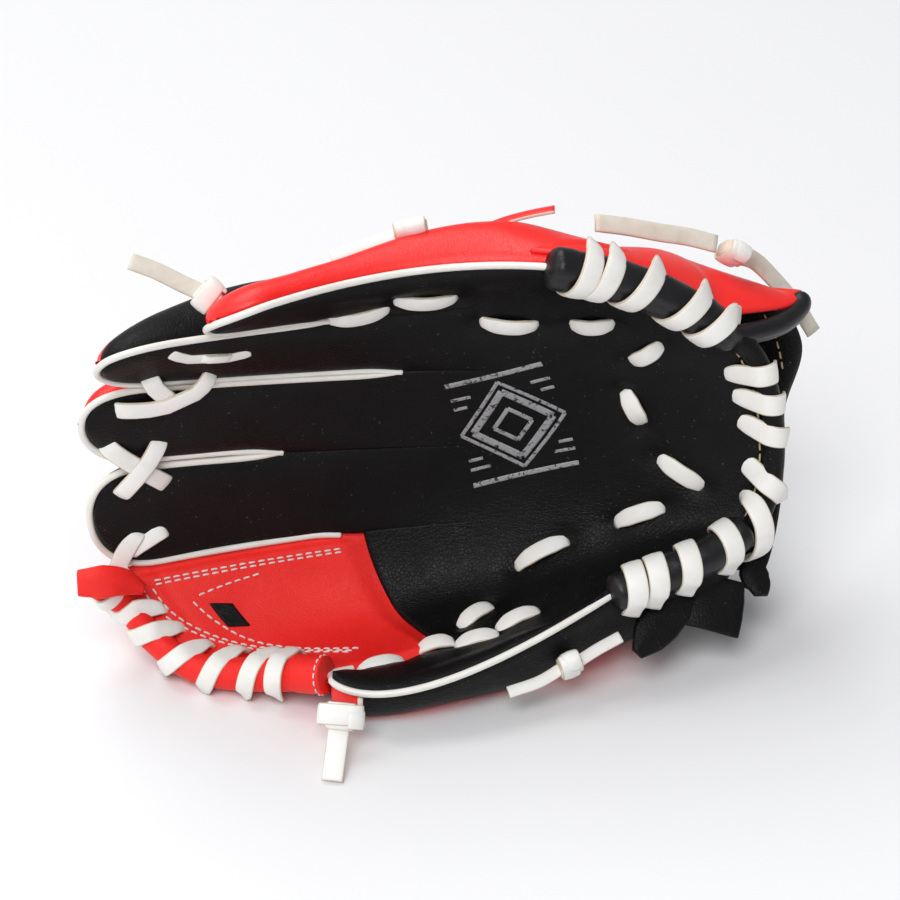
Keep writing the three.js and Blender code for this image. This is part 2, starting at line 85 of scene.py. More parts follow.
# Heel, middle and tip point of each line from the wrist to the fingertips, and the way it faces.
LINES = np.array([
    [[77, -2, 33], [26, -24, 18], [-5, -22, 16]],
    [[101, 8, 37], [36, 0, 14], [-9, -15, 13]],
    [[113, 16, 40], [28, 22, 13], [-48, -3.5, 6.9]],
    [[121, 22, 44], [22, 36, 28], [-72, 14, 26]],
    [[124, 28, 61], [22, 42, 53], [-75, 14, 64]],
    [[118, 32, 88], [20, 41, 80], [-72, 12, 92]],
    [[97, 34, 110], [16, 36, 103], [-60, 5, 110]],
    [[57, 26, 124], [10, 26, 121], [-40, -4, 121]],
], float)
FACINGS = np.array([
    [[-0.25, -0.1, 0.95], [-0.1, -0.1, 1], [0.1, -0.1, 1]],
    [[-0.35, -0.1, 0.92], [-0.1, -0.1, 1], [0.1, -0.05, 1]],
    [[-0.4, -0.2, 0.9], [-0.05, -0.25, 0.96], [0.15, -0.15, 0.97]],
    [[-0.4, -0.6, 0.7], [0, -0.75, 0.65], [0.25, -0.65, 0.7]],
    [[-0.35, -0.92, 0.2], [0.05, -0.97, 0.2], [0.35, -0.92, 0.15]],
    [[-0.3, -0.95, 0], [0.08, -0.99, -0.1], [0.38, -0.9, -0.2]],
    [[-0.2, -0.94, -0.25], [0.12, -0.94, -0.3], [0.36, -0.8, -0.4]],
    [[-0.15, -0.85, -0.45], [0.2, -0.85, -0.45], [0.4, -0.7, -0.55]],
], float)


# ---- the palm surface ---------------------------------------------------------------------------
def unit(vectors):
    return vectors / np.maximum(np.linalg.norm(vectors, axis=-1, keepdims=True), 1e-12)


def smooth(x, low=0.0, high=1.0):
    t = np.clip((np.asarray(x, float) - low) / (high - low), 0, 1)
    return t * t * (3 - 2 * t)


def catmull(a, b, c, d, t):
    """A smooth curve from b at t = 0 to c at t = 1, on its way from a to d."""
    return 0.5 * (2 * b + (c - a) * t + (2 * a - 5 * b + 4 * c - d) * t**2
                  + (3 * b - a - 3 * c + d) * t**3)


def across(lines, u, v):
    """Through heel, middle and tip along u, and smoothly from line to line across v."""
    u, v = np.broadcast_arrays(np.asarray(u, float), np.asarray(v, float))
    ends = np.concatenate([2 * lines[:1] - lines[1:2], lines, 2 * lines[-1:] - lines[-2:-1]])
    i = np.clip(np.floor(v).astype(int), 0, len(lines) - 2)
    w = u[..., None]
    along = [ends[i + k, 0] * (1 - w) * (1 - 2 * w) + ends[i + k, 1] * 4 * w * (1 - w)
             + ends[i + k, 2] * w * (2 * w - 1) for k in range(4)]
    return catmull(*along, (v - i)[..., None])


def facing(u, v):
    return unit(across(FACINGS, u, v))


def at(u, v, h=0.0, floor=0.0):
    """A point h above the palm surface, never lower than floor, in metres in the row frame."""
    point = across(LINES, u, v) + facing(u, v) * np.asarray(h, float)[..., None]
    point[..., 2] = np.maximum(point[..., 2], floor)
    return (point - ORIGIN) * MM


def place(*points):
    """Points of the layout in metres in the row frame."""
    return (np.array(points, float) - ORIGIN) * MM


def patch(us, vs, rows, columns):
    """Grids of u and v over a patch of the surface."""
    return np.meshgrid(np.linspace(*us, rows), np.linspace(*vs, columns), indexing="ij")


# ---- shapes -------------------------------------------------------------------------------------
class Shape:
    """Points, faces and, for each face, the number of the material it takes."""

    def __init__(self, points, faces, marks=None):
        self.points = np.asarray(points, float).reshape(-1, 3)
        self.faces = [tuple(f) for f in faces]
        self.marks = list(marks) if marks is not None else [0] * len(self.faces)

    def __add__(self, other):
        n = len(self.points)
        faces = self.faces + [tuple(i + n for i in f) for f in other.faces]
        return Shape(np.vstack([self.points, other.points]), faces, self.marks + other.marks)


def joined(shapes):
    shapes = list(shapes)
    result = shapes[0]
    for shape in shapes[1:]:
        result = result + shape
    return result


def grid_faces(rows, columns, flip=False, closed=False):
    faces = []
    for i in range(rows - 1):
        for j in range(columns if closed else columns - 1):
            k = (j + 1) % columns
            face = (i * columns + j, i * columns + k, (i + 1) * columns + k, (i + 1) * columns + j)
            faces.append(face[::-1] if flip else face)
    return faces


def skin(u, v, h, floor=0.0, flip=False):
    """A grid of faces h above the palm surface."""
    return Shape(at(u, v, h, floor), grid_faces(*u.shape, flip=flip))


def weld(shape):
    """Neighbouring grids become one where their edge points are the same."""
    keys = np.round(shape.points / (WELD_DISTANCE * MM)).astype(np.int64)
    _, first, index = np.unique(keys, axis=0, return_index=True, return_inverse=True)
    index = index.reshape(-1)
    faces, marks = [], []
    for face, mark in zip(shape.faces, shape.marks):
        ids = [int(index[i]) for i in face]
        ids = [a for k, a in enumerate(ids) if a != ids[k - 1]]
        if len(ids) > 2:
            faces.append(tuple(ids))
            marks.append(mark)
    return Shape(shape.points[first], faces, marks)


def vertex_normals(points, faces):
    normals = np.zeros_like(points)
    for size in {len(f) for f in faces}:
        ids = np.array([f for f in faces if len(f) == size])
        corner = points[ids]
        turn = np.cross(corner[:, 2] - corner[:, 0], corner[:, -1] - corner[:, 1])
        for k in range(size):
            np.add.at(normals, ids[:, k], turn)
    return unit(normals)


def faced(points, ups):
    """A grid of points with its front turned to the side that ups point to."""
    faces = grid_faces(*points.shape[:2])
    away = np.sum(vertex_normals(points.reshape(-1, 3), faces) * ups.reshape(-1, 3)) < 0
    return Shape(points, [f[::-1] for f in faces] if away else faces)


def thicken(shape, thickness):
    """A closed sheet of leather below the faces, with a rounded rim."""
    points, faces = shape.points, shape.faces
    n = len(points)
    normals = vertex_normals(points, faces)
    edges = {(a, b) for f in faces for a, b in zip(f, f[1:] + f[:1])}
    rim = [(a, b) for a, b in edges if (b, a) not in edges]
    rim.sort()
    outward = np.zeros_like(points)
    for a, b in rim:
        side = unit(np.cross(points[b] - points[a], normals[a] + normals[b]))
        outward[a] += side
        outward[b] += side
    on_rim = sorted({a for a, _ in rim} | {b for _, b in rim})
    number = {a: 2 * n + k for k, a in enumerate(on_rim)}
    t, bulge = thickness * MM, 0.4
    middle = points[on_rim] - normals[on_rim] * t / 2 + unit(outward[on_rim]) * t * bulge
    walls = [(b, a, number[a], number[b]) for a, b in rim]
    walls += [(number[b], number[a], a + n, b + n) for a, b in rim]
    below = [tuple(i + n for i in f[::-1]) for f in faces]
    return Shape(np.vstack([points, points - normals * t, middle]), faces + below + walls,
                 shape.marks + shape.marks + [0] * len(walls))


def arc(points):
    """Distance from the first point to each point, along the line through them."""
    return np.concatenate([[0], np.cumsum(np.linalg.norm(np.diff(points, axis=0), axis=1))])


def sample(table, s, wanted):
    """The rows of table, which belong to the distances s, at the wanted distances."""
    return np.column_stack([np.interp(wanted, s, column) for column in table.T])


def spline(points, count):
    """count points evenly spaced on a smooth curve through points."""
    p = np.asarray(points, float)
    ends = np.vstack([2 * p[0] - p[1], p, 2 * p[-1] - p[-2]])
    t = np.linspace(0, 1, 24, endpoint=False)[:, None]
    fine = np.vstack([catmull(*ends[i:i + 4], t) for i in range(len(p) - 1)] + [p[-1:]])
    s = arc(fine)
    return sample(fine, s, np.linspace(0, s[-1], count))


def squared(wave, power):
    """A sine or cosine, pulled towards 1 and -1 so that a circle becomes a rounded rectangle."""
    return np.sign(wave) * np.abs(wave) ** power


def ribbon(path, up, width=LACE_WIDTH, thickness=LACE_THICKNESS, taper=(1.0, 1.0), cup=0.0):
    """A flat lace along path with its face towards up. Its cut edges take the second material."""
    sides, cut_edge = 14, 0.88
    path = np.asarray(path, float)
    tangent = unit(np.gradient(path, axis=0))
    side = unit(np.cross(tangent, np.broadcast_to(up, path.shape)))
    normal = np.cross(side, tangent)
    angle = 2 * np.pi * (np.arange(sides) + 0.5) / sides
    x, y = squared(np.cos(angle), 0.4), squared(np.sin(angle), 0.5)
    t = np.linspace(0, 1, len(path))
    scale = 1 - (1 - taper[0]) * (1 - smooth(t, 0, 0.3)) - (1 - taper[1]) * smooth(t, 0.7, 1)
    half = (width / 2 * MM * scale)[:, None, None]
    lift = (thickness / 2 * y - cup * x * x)[None, :, None] * MM
    points = path[:, None] + side[:, None] * half * x[None, :, None] + normal[:, None] * lift
    n = len(path)
    faces = grid_faces(n, sides, closed=True)
    edge = [int(abs(np.cos(2 * np.pi * (j + 1) / sides)) > cut_edge) for j in range(sides)]
    faces += [tuple(range(sides))[::-1], tuple((n - 1) * sides + k for k in range(sides))]
    return Shape(points, faces, edge * (n - 1) + [1, 1])


def carried_frame(path, up):
    """A side and a normal for each point of path, turning no more than the path does."""
    tangent = unit(np.gradient(path, axis=0))
    normal = np.zeros_like(path)
    current = np.asarray(up, float)
    for i, t in enumerate(tangent):
        current = unit(current - t * (current @ t))
        normal[i] = current
    return np.cross(tangent, normal), normal


def tube(points, radius, sides, up=(0, 0, 1), step=1.2, cap=0.5, shape=None):
    """A round cord with closed, rounded ends. shape(s, angle) scales its radius."""
    count = 400
    fine = spline(points, count)
    length = np.linalg.norm(np.diff(fine, axis=0), axis=1).sum() / MM
    bend = np.linspace(0.15, 1, 6) * np.pi / 2
    end = radius * cap * (1 - np.cos(bend))
    body = np.arange(end[-1] + step, length - end[-1] - step / 2, step)
    s = np.concatenate([end, body, length - end[::-1]])
    path = sample(fine, np.linspace(0, 1, count), s / length)
    side, normal = carried_frame(path, up)
    swell = np.concatenate([np.sin(bend), np.ones(len(body)), np.sin(bend)[::-1]])
    angle = 2 * np.pi * np.arange(sides) / sides
    r = radius * swell[:, None] * (shape(s[:, None], angle[None, :]) if shape else np.ones((1, sides)))
    points = path[:, None] + (side[:, None] * np.cos(angle)[None, :, None]
                              + normal[:, None] * np.sin(angle)[None, :, None]) * r[..., None] * MM
    n = len(s)
    faces = grid_faces(n, sides, closed=True, flip=True)
    faces += [tuple(range(sides)), tuple((n - 1) * sides + k for k in range(sides))[::-1]]
    return Shape(points, faces)


def stitches(path, up, length, gap, radius):
    """A row of thread stitches that dip into the leather at both ends."""
    path = np.asarray(path, float)
    s, ups = arc(path) / MM, np.broadcast_to(up, path.shape)
    t = np.linspace(0, 1, 5)
    proud, sunk = 0.35, 0.12
    arch = (np.sin(np.pi * t) * proud - sunk)[:, None] * MM
    found = []
    for start in np.arange(gap / 2, s[-1] - length, length + gap):
        along = start + t * length
        line = sample(path, s, along) + sample(ups, s, along) * arch
        found.append(tube(line, radius, up=ups[0], sides=6, step=length / 3, cap=1.0))
    return joined(found)


def ripple(points, size, wave):
    """Slow, uneven waves, size high, for leather that isn't quite flat."""
    p = np.asarray(points) / (wave * MM)
    a = np.sin(p @ np.array([1.0, 0.6, 1.3]) + 1.7 * np.sin(p @ np.array([0.4, 1.1, 0.5])))
    b = np.sin(p @ np.array([-0.7, 1.5, 1.9]) + 1.3 * np.sin(p @ np.array([0.9, -0.5, 0.8])) + 2.0)
    return size * (a + b) / 2


# ---- materials ----------------------------------------------------------------------------------
class Paint:
    """A Principled material and the nodes that vary it."""

    def __init__(self, name, **sockets):
        self.material = bpy.data.materials.new(name)
        self.material.use_nodes = True
        self.tree = self.material.node_tree
        self.shader = self.tree.nodes["Principled BSDF"]
        self.coordinates = self.tree.nodes.new("ShaderNodeTexCoord").outputs["Object"]
        self.bump = None
        for socket, value in sockets.items():
            self.shader.inputs[socket.replace("_", " ")].default_value = value

    def node(self, kind, inputs=None, **settings):
        made = self.tree.nodes.new(kind)
        for key, value in settings.items():
            setattr(made, key, value)
        for key, value in (inputs or {}).items():
            if hasattr(value, "is_linked"):
                self.tree.links.new(value, made.inputs[key])
            else:
                made.inputs[key].default_value = value
        return made

    def noise(self, size, detail, distortion=0.0, scale=(1, 1, 1)):
        """Noise with features about size millimetres across."""
        vector = self.coordinates
        if scale != (1, 1, 1):
            vector = self.node("ShaderNodeMapping", {"Vector": vector, "Scale": scale}).outputs["Vector"]
        return self.node("ShaderNodeTexNoise", {
            "Vector": vector, "Scale": 1000 / size, "Detail": detail, "Distortion": distortion,
        }).outputs["Fac"]

    def cells(self, size):
        """Distance to the edge of leather pebbles about size millimetres across."""
        return self.node("ShaderNodeTexVoronoi", {"Vector": self.coordinates, "Scale": 1000 / size},
                         feature="DISTANCE_TO_EDGE").outputs["Distance"]

    def ranged(self, value, low, high, start=0.0, end=1.0):
        return self.node("ShaderNodeMapRange", {
            "Value": value, "From Min": low, "From Max": high, "To Min": start, "To Max": end,
        }).outputs["Result"]

    def uneven(self, size, detail, low, high):
        """A value that wanders between low and high."""
        return self.ranged(self.noise(size, detail), 0.3, 0.7, low, high)

    def pebbles(self, size, height):
        """Raised grain, with creases between the pebbles."""
        self.raise_by(self.ranged(self.cells(size), 0, 0.22), height, 0.7)

    def mix(self, factor, a, b):
        """A blend of two colours, each the result of a node or red, green and blue."""
        made = self.node("ShaderNodeMix", data_type="RGBA")
        for socket, value in zip((made.inputs[0], made.inputs[6], made.inputs[7]), (factor, a, b)):
            if hasattr(value, "is_linked"):
                self.tree.links.new(value, socket)
            else:
                socket.default_value = (*value, 1)
        return made.outputs[2]

    def raise_by(self, height, distance, strength):
        """Adds a bump whose full height is distance millimetres."""
        inputs = {"Height": height, "Distance": distance * MM, "Strength": strength}
        if self.bump is not None:
            inputs["Normal"] = self.bump
        self.bump = self.node("ShaderNodeBump", inputs).outputs["Normal"]

    def done(self, colour=None, roughness=None):
        if colour is not None:
            self.tree.links.new(colour, self.shader.inputs["Base Color"])
        if roughness is not None:
            self.tree.links.new(roughness, self.shader.inputs["Roughness"])
        if self.bump is not None:
            self.tree.links.new(self.bump, self.shader.inputs["Normal"])
        return self.material


DUST = (0.45, 0.43, 0.42)


def leather(name, deep, pale, roughness, pebble=1.1, relief=0.10, dust=0.0, **sockets):
    """Pebbled leather with slow colour changes, fine creases and a little dust in the grain."""
    paint = Paint(name, **sockets)
    slow = paint.noise(22, 4, 0.6)
    colour = paint.mix(paint.ranged(slow, 0.35, 0.7), deep, pale)
    scuffs = paint.noise(2.2, 5, 1.5, scale=(1, 1, 2.6))
    scuffed = [1.8 * c + 0.01 for c in pale]
    colour = paint.mix(paint.ranged(scuffs, 0.66, 0.8, 0, 0.35), colour, scuffed)
    if dust:
        specks = paint.ranged(paint.noise(0.7, 0, 0), 0.825, 0.85, 0, dust)
        colour = paint.mix(specks, colour, DUST)
    paint.pebbles(pebble, relief)
    paint.raise_by(paint.noise(0.35, 2), relief * 0.35, 0.6)
    paint.raise_by(paint.noise(5.5, 4, 1.2, scale=(1, 1, 2)), 0.35, 0.35)
    return paint.done(colour, paint.uneven(9, 4, roughness - 0.05, roughness + 0.09))


def lace_finish(name, clean, worn, roughness=0.48):
    """Split leather lace: a smooth white face with faint fibres and a little grime."""
    paint = Paint(name, Specular_IOR_Level=0.4, Subsurface_Weight=0.08, Subsurface_Scale=0.001)
    colour = paint.mix(paint.ranged(paint.noise(6, 4, 0.8), 0.4, 0.75, 0, 0.7), clean, worn)
    paint.raise_by(paint.noise(0.6, 3, 0.4), 0.06, 0.7)
    paint.raise_by(paint.noise(2.5, 2), 0.12, 0.4)
    return paint.done(colour, paint.uneven(3, 3, roughness - 0.06, roughness + 0.1))


def vinyl(name, clean, worn, roughness):
    """Smooth moulded vinyl, as on the piping."""
    paint = Paint(name, Specular_IOR_Level=0.5)
    colour = paint.mix(paint.ranged(paint.noise(9, 4), 0.45, 0.75, 0, 0.6), clean, worn)
    paint.raise_by(paint.noise(1.1, 2), 0.05, 0.6)
    return paint.done(colour, paint.uneven(4, 2, roughness - 0.04, roughness + 0.08))


def cloth(name, deep, pale, roughness, thread):
    """A plain weave of threads."""
    paint = Paint(name, Sheen_Weight=0.25, Sheen_Roughness=0.5)
    waves = [paint.node("ShaderNodeTexWave", {
        "Vector": paint.coordinates, "Scale": 1000 / thread / 6.28, "Distortion": 0.6, "Detail": 1.0,
    }, bands_direction=axis).outputs["Fac"] for axis in ("X", "Z")]
    weave = paint.node("ShaderNodeMath", {0: waves[0], 1: waves[1]}, operation="MULTIPLY").outputs[0]
    colour = paint.mix(paint.ranged(weave, 0, 0.9), deep, pale)
    paint.raise_by(weave, thread * 0.4, 0.8)
    paint.raise_by(paint.noise(0.5, 3), 0.1, 0.5)
    return paint.done(colour, paint.uneven(8, 2, roughness - 0.05, roughness + 0.05))


def printed(name, print_colour, ground):
    """Silver print, worn through to the black leather on the tops of the grain."""
    paint = Paint(name, Metallic=0.35)
    rubbed = paint.ranged(paint.noise(1.6, 5, 1.0), 0.54, 0.64)
    colour = paint.mix(rubbed, print_colour, ground)
    paint.pebbles(1.1, 0.10)
    return paint.done(colour, paint.uneven(3, 3, 0.42, 0.6))


BLACK = leather("black_leather", (0.0034, 0.0034, 0.0038), (0.0062, 0.0061, 0.0066), 0.42, dust=0.16,
                Specular_IOR_Level=0.17)
GLOSS = leather("gloss_leather", (0.0070, 0.0070, 0.0080), (0.0110, 0.0110, 0.0125), 0.34, pebble=0.8,
                relief=0.05, Specular_IOR_Level=0.36, Coat_Weight=0.08, Coat_Roughness=0.25)
RED = leather("red_leather", (0.92, 0.014, 0.012), (0.96, 0.024, 0.020), 0.36, pebble=0.9, relief=0.05,
              Specular_IOR_Level=0.45)
WEB_RED = leather("red_web_leather", (0.94, 0.020, 0.016), (0.98, 0.032, 0.025), 0.46, pebble=0.7,
                  relief=0.08, Specular_IOR_Level=0.28)
LACE = lace_finish("white_lace", (0.94, 0.925, 0.89), (0.87, 0.84, 0.77))
LACE_CORE = lace_finish("lace_core", (0.74, 0.66, 0.54), (0.62, 0.53, 0.41), 0.7)
# A darker copy of the white lace colour for the loose lace ends that use it: partly the grey suede side
# of the lace, partly painted shade for strands that hang in shadow.
SUEDE_AND_SHADE = lace_finish("lace_suede_and_shade", (0.74, 0.69, 0.60), (0.60, 0.54, 0.45), 0.8)
PIPING = vinyl("white_piping", (0.86, 0.84, 0.79), (0.76, 0.72, 0.64), 0.38)
THREAD = lace_finish("white_thread", (0.80, 0.76, 0.74), (0.72, 0.62, 0.60), 0.6)
TAN_THREAD = lace_finish("tan_thread", (0.62, 0.46, 0.24), (0.50, 0.35, 0.17), 0.6)
LINING = cloth("lining_cloth", (0.010, 0.010, 0.012), (0.035, 0.035, 0.040), 0.85, 0.6)
FELT = cloth("felt", (0.28, 0.27, 0.25), (0.42, 0.41, 0.38), 0.9, 1.1)
FUZZ = cloth("hook_and_loop", (0.012, 0.012, 0.014), (0.05, 0.05, 0.055), 0.9, 0.9)
SILVER = printed("silver_print", (0.40, 0.40, 0.41), (0.024, 0.024, 0.026))


def piece(name, shape, materials, body, replaces=()):
    """Makes shape one object that rides on body, or stays in place with its transform baked when body is
    None.
    """
    materials = materials if isinstance(materials, list) else [materials]
    mesh = bpy.data.meshes.new(name)
    mesh.from_pydata(shape.points.tolist(), [], shape.faces)
    for material in materials:
        mesh.materials.append(material)
    mesh.polygons.foreach_set("material_index", shape.marks)
    mesh.polygons.foreach_set("use_smooth", [True] * len(shape.faces))
    mesh.update()
    obj = bpy.data.objects.new(name, mesh)
    bpy.context.scene.collection.objects.link(obj)
    if body is None:
        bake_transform(obj)
    else:
        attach(obj, body)
    if replaces:
        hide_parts(*replaces)
    return obj


def lace_piece(name, shape, body, replaces, finish=LACE):
    return piece(name, shape, [finish, LACE_CORE], body, replaces)


# ---- camera -------------------------------------------------------------------------------------
CAMERA_AT = (-0.00241, -0.57260, 0.47380)
CAMERA_AIM = (-0.00241, 0.00078, 0.07226)


def camera():
    data = bpy.data.cameras.new("camera")
    data.lens = 98
    data.sensor_width = 36
    data.clip_start = 0.01
    obj = bpy.data.objects.new("camera", data)
    obj.location = CAMERA_AT
    obj.rotation_euler = (Vector(CAMERA_AIM) - obj.location).to_track_quat("-Z", "Y").to_euler()
    bpy.context.scene.collection.objects.link(obj)
    bpy.context.scene.camera = obj


# ---- free lace end at the wrist -----------------------------------------------------------------
def wrist_tail():
    """The long loose end of the wrist lace, from its knot along the pinky side."""
    route = place([107, 59.5, 113], [98.5, 59, 115.7], [90, 57.5, 118], [80.5, 56.2, 120.7],
                  [71, 54.5, 123])
    path = spline(route, 26)
    up = spline([[0.25, -0.62, 0.74], [0.2, -0.7, 0.7], [0.15, -0.6, 0.8]], 26)
    # the tail takes the darker lace colour: partly the lace's grey suede side, partly painted shade
    tail = lace_piece("wrist_tail_lace", ribbon(path, up, cup=0.25), FINGER_SIDE, ["wrist_tail"], SUEDE_AND_SHADE)


# ---- digits -------------------------------------------------------------------------------------
def lane(k, u):
    """The two edges in v of digit k at u: joined to its neighbours up to the slits, with a round tip."""
    u = np.asarray(u, float)
    tip = TIPS[k]
    opening = [smooth(u, SLITS[e], SLITS[e] + 0.07) * SEAM if e in SLITS else 0 * u
               for e in (k, k + 1)]
    low, high = k + opening[0], k + 1 - opening[1]
    if k == PINKY:
        high = high - 0.03
    over = np.clip((u - (tip - ROUNDING[k])) / ROUNDING[k], 0, 1)
    narrow = (1 - over**2.6) ** (1 / 2.2)
    middle, half = (low + high) / 2, (high - low) / 2
    return middle - half * narrow, middle + half * narrow


def tip_rows(start, tip, rounding, coarse=0.012, fine=14):
    """Values of u from start to tip, closer together on the rounded tip."""
    body = np.linspace(start, tip - rounding, max(2, int((tip - rounding - start) / coarse)))
    turn = tip - rounding * (1 - np.sin(np.linspace(0, 1, fine + 1)[1:] * np.pi / 2))
    return np.concatenate([body, turn])


# Each visible run of the lace that is threaded through the palm, from hole to hole.
PALM_RUNS = [
    ((0.64, 6.00), (0.52, 6.12)), ((0.51, 6.30), (0.39, 6.18)), ((0.38, 5.72), (0.29, 5.60)),
    ((0.24, 5.60), (0.17, 5.58)), ((0.18, 5.05), (0.12, 5.28)), ((0.20, 4.68), (0.18, 4.27)),
    ((0.16, 3.85), (0.09, 3.42)), ((0.21, 2.82), (0.14, 3.10)),
]
THUMB_RUNS = [
    ((0.37, 2.22), (0.28, 2.58)), ((0.52, 1.35), (0.43, 1.62)), ((0.44, 1.05), (0.34, 1.22)),
    ((0.65, 1.12), (0.55, 1.08)), ((0.55, 0.98), (0.43, 0.92)), ((0.86, 0.92), (0.70, 0.95)),
]


def pull(points):
    """How far the threaded lace pulls the leather in, millimetres."""
    depth = np.zeros(points.shape[:-1])
    for (u0, v0), (u1, v1) in PALM_RUNS + THUMB_RUNS:
        a, b = at(u0, v0), at(u1, v1)
        t = np.clip(((points - a) @ (b - a)) / ((b - a) @ (b - a)), 0, 1)
        off = np.linalg.norm(points - a - t[..., None] * (b - a), axis=-1) / MM
        hole = np.minimum(np.linalg.norm(points - a, axis=-1), np.linalg.norm(points - b, axis=-1)) / MM
        depth = np.maximum(depth, 0.75 * np.exp(-(off / 3.6) ** 2) + 0.7 * np.exp(-(hole / 2.6) ** 2))
    return depth


def palm_height(k, u, w):
    """Height of the palm leather across digit k: padded, and turned down at the seams."""
    if k in WEBBED:
        return 0 * u * w
    slit = SLITS.get(k, WEB_START)
    free = smooth(u, slit - 0.16, slit + 0.08)
    crown = THUMB_CROWN if k == THUMB else PALM_CROWN
    edge = np.abs(2 * w - 1)
    puffed = crown * (1 - edge**2.2) - 0.9 * edge**8
    if k in (THUMB, PINKY):
        free = np.maximum(free, smooth(w if k == PINKY else 1 - w, 0.3, 0.8))
    return puffed * free


def palm_front():
    """One black skin: the palm, the fronts of the fingers and the front of the thumb."""
    shapes = []
    base = np.concatenate([np.linspace(0.0, 0.55, 56), np.linspace(0.56, 0.86, 34),
                           1 - 0.14 * (1 - np.sin(np.linspace(0.02, 1, 22) * np.pi / 2))])
    even = np.linspace(0, 1, 27)
    w = 0.6 * (0.5 - 0.5 * np.cos(even * np.pi)) + 0.4 * even
    for k in range(7):
        rows = base
        if k in WEBBED:
            rows = base[base <= WEB_START]
            low, high = np.full(len(rows), float(k)), np.full(len(rows), k + 1.0)
        else:
            if k == PINKY:
                slit = SLITS[PINKY]
                squeeze = (TIPS[PINKY] - slit) / (1 - slit)
                rows = np.where(rows > slit, slit + (rows - slit) * squeeze, rows)
            low, high = lane(k, rows)
        v = low[:, None] + (high - low)[:, None] * w[None, :]
        u = np.broadcast_to(rows[:, None], v.shape)
        flat = at(u, v)
        heel = -1.4 * (1 - smooth(u, 0, 0.035))
        h = palm_height(k, u, w[None, :]) + heel - pull(flat) + ripple(flat, *PALM_RIPPLE)
        shapes.append(skin(u, v, h, LEATHER))
    whole = thicken(weld(joined(shapes)), LEATHER)
    piece("palm_front", whole, BLACK, None, ["palm_leather", "thumb_leather"])


def digit_back(k, start, depth, high=None, sides=30, heel=0.0, span=(0.0, 1.0), part=(-1.0, 2.0)):
    """The padded back of a digit, a C section that closes round the tip and, over heel, at the wrist.

    high(u) is where the thumb's wide back ends in v. span is the share of the section that this
    panel covers, and part the stretch of u.
    """
    seam, floor = -2.2, 0.4
    rows = tip_rows(start, TIPS[k], ROUNDING[k])
    if heel:
        closing = start + heel * (1 - np.cos(np.linspace(0, 1, 12) * np.pi / 2))
        rows = np.concatenate([closing, rows[rows > start + heel + 0.006]])
    rows = rows[(rows >= part[0]) & (rows <= part[1])]
    low, top = lane(k, rows)
    if high is not None:
        top = low + (top - low) * (high(rows) - k)
    angle = np.pi * np.linspace(*span, sides + 1)
    over = np.clip((rows - (TIPS[k] - ROUNDING[k])) / ROUNDING[k], 0, 1)
    swell = np.maximum(1 - over**2.4, 0) ** (1 / 2.4)
    if heel:
        swell = swell * np.sqrt(np.maximum(1 - np.clip(1 - (rows - start) / heel, 0, 1) ** 2, 0.0))
    middle, half = (low + top) / 2, (top - low) / 2
    v = middle[:, None] - half[:, None] * squared(np.cos(angle), 0.75)
    u = np.broadcast_to(rows[:, None], v.shape)
    rise = np.sin(angle)[None, :] ** 0.72
    h = seam - (depth(rows) * swell)[:, None] * rise
    h = h - 0.9 * np.abs(np.cos(angle))[None, :] ** 6 + ripple(at(u, v, h), 0.3, 11) * rise
    return skin(u, v, h, floor, flip=True)


# How far the back of each digit stands from the palm surface at u, millimetres.
def finger_depth(u):
    return FINGER_THICKNESS - 8 * u * u


def ring_depth(u):
    return finger_depth(u) + 9.5 * smooth(1 - u, 0.0, 0.27)


def pinky_depth(u):
    return 10.5 + 8 * smooth(u, 0, 0.22) - 9.5 * smooth(u, 0.25, 0.75)


def thumb_depth(u):
    return 12 + 6 * (1 - smooth(u, 0.3, WEB_START))


def thumb_width(u):
    """Where the thumb's back ends in v: it is wider than the thumb's own lane at the heel."""
    return 1.08 + 0.9 * (1 - smooth(u, 0.4, WEB_START))


HEEL_EDGE = -0.005                         # the u at which the backs of the thumb and pinky end


def digit_backs():
    halves = {"index": (BLACK, BLACK, 0.5), "middle": (BLACK, RED, 0.5), "ring": (RED, BLACK, 0.6)}
    for name, (*finishes, seam) in halves.items():
        depth = ring_depth if name == "ring" else finger_depth
        for half, finish in enumerate(finishes):
            span = (seam + 0.003, 1.0) if half else (0.0, seam)
            shell = thicken(digit_back(DIGITS[name], 0.40, depth, sides=16, span=span), LEATHER)
            piece(f"{name}_back_{('low', 'high')[half]}_panel", shell, finish, FINGER_SIDE,
                  [f"{name}_back"] if half else [])
    pinky = thicken(digit_back(PINKY, HEEL_EDGE, pinky_depth, heel=0.05), LEATHER)
    piece("pinky_finger_back", pinky, RED, FINGER_SIDE, ["pinky_back"])

    side, middle, inner, tip, sides = (0.0, 0.33), (0.335, 0.70), (0.705, 1.0), 2, 15
    for name, finish, span, part in (
        ("thumb_side_band", BLACK, side, (-1, 0.835)), ("thumb_red_tip", RED, side, (0.825, tip)),
        ("thumb_red_back", RED, middle, (0.13, tip)), ("thumb_back_heel", BLACK, middle, (-1, 0.14)),
        ("thumb_inner_side", BLACK, inner, (-1, tip)),
    ):
        panel = digit_back(THUMB, HEEL_EDGE, thumb_depth, thumb_width, sides, 0.05, span, part)
        first = name == "thumb_side_band"
        piece(name, thicken(panel, LEATHER), finish, THUMB_SIDE, ["thumb_back"] if first else [])
        if first:
            rim = tube(panel.points[-sides - 1:], PIPING_RADIUS * 0.8, sides=8)
            piece("thumb_tip_welt", rim, PIPING, THUMB_SIDE)


def outline(k, start, end):
    """u and v round the edge of digit k, from start on its low side round the tip to end."""
    tip, turn = TIPS[k], ROUNDING[k]
    low_rows = tip_rows(start, tip, turn, 0.03, 12)
    high_rows = tip_rows(end, tip, turn, 0.03, 12)[::-1]
    low = np.column_stack([low_rows, lane(k, low_rows)[0]])
    high = np.column_stack([high_rows, lane(k, high_rows)[1]])
    return np.vstack([low, high[1:]])


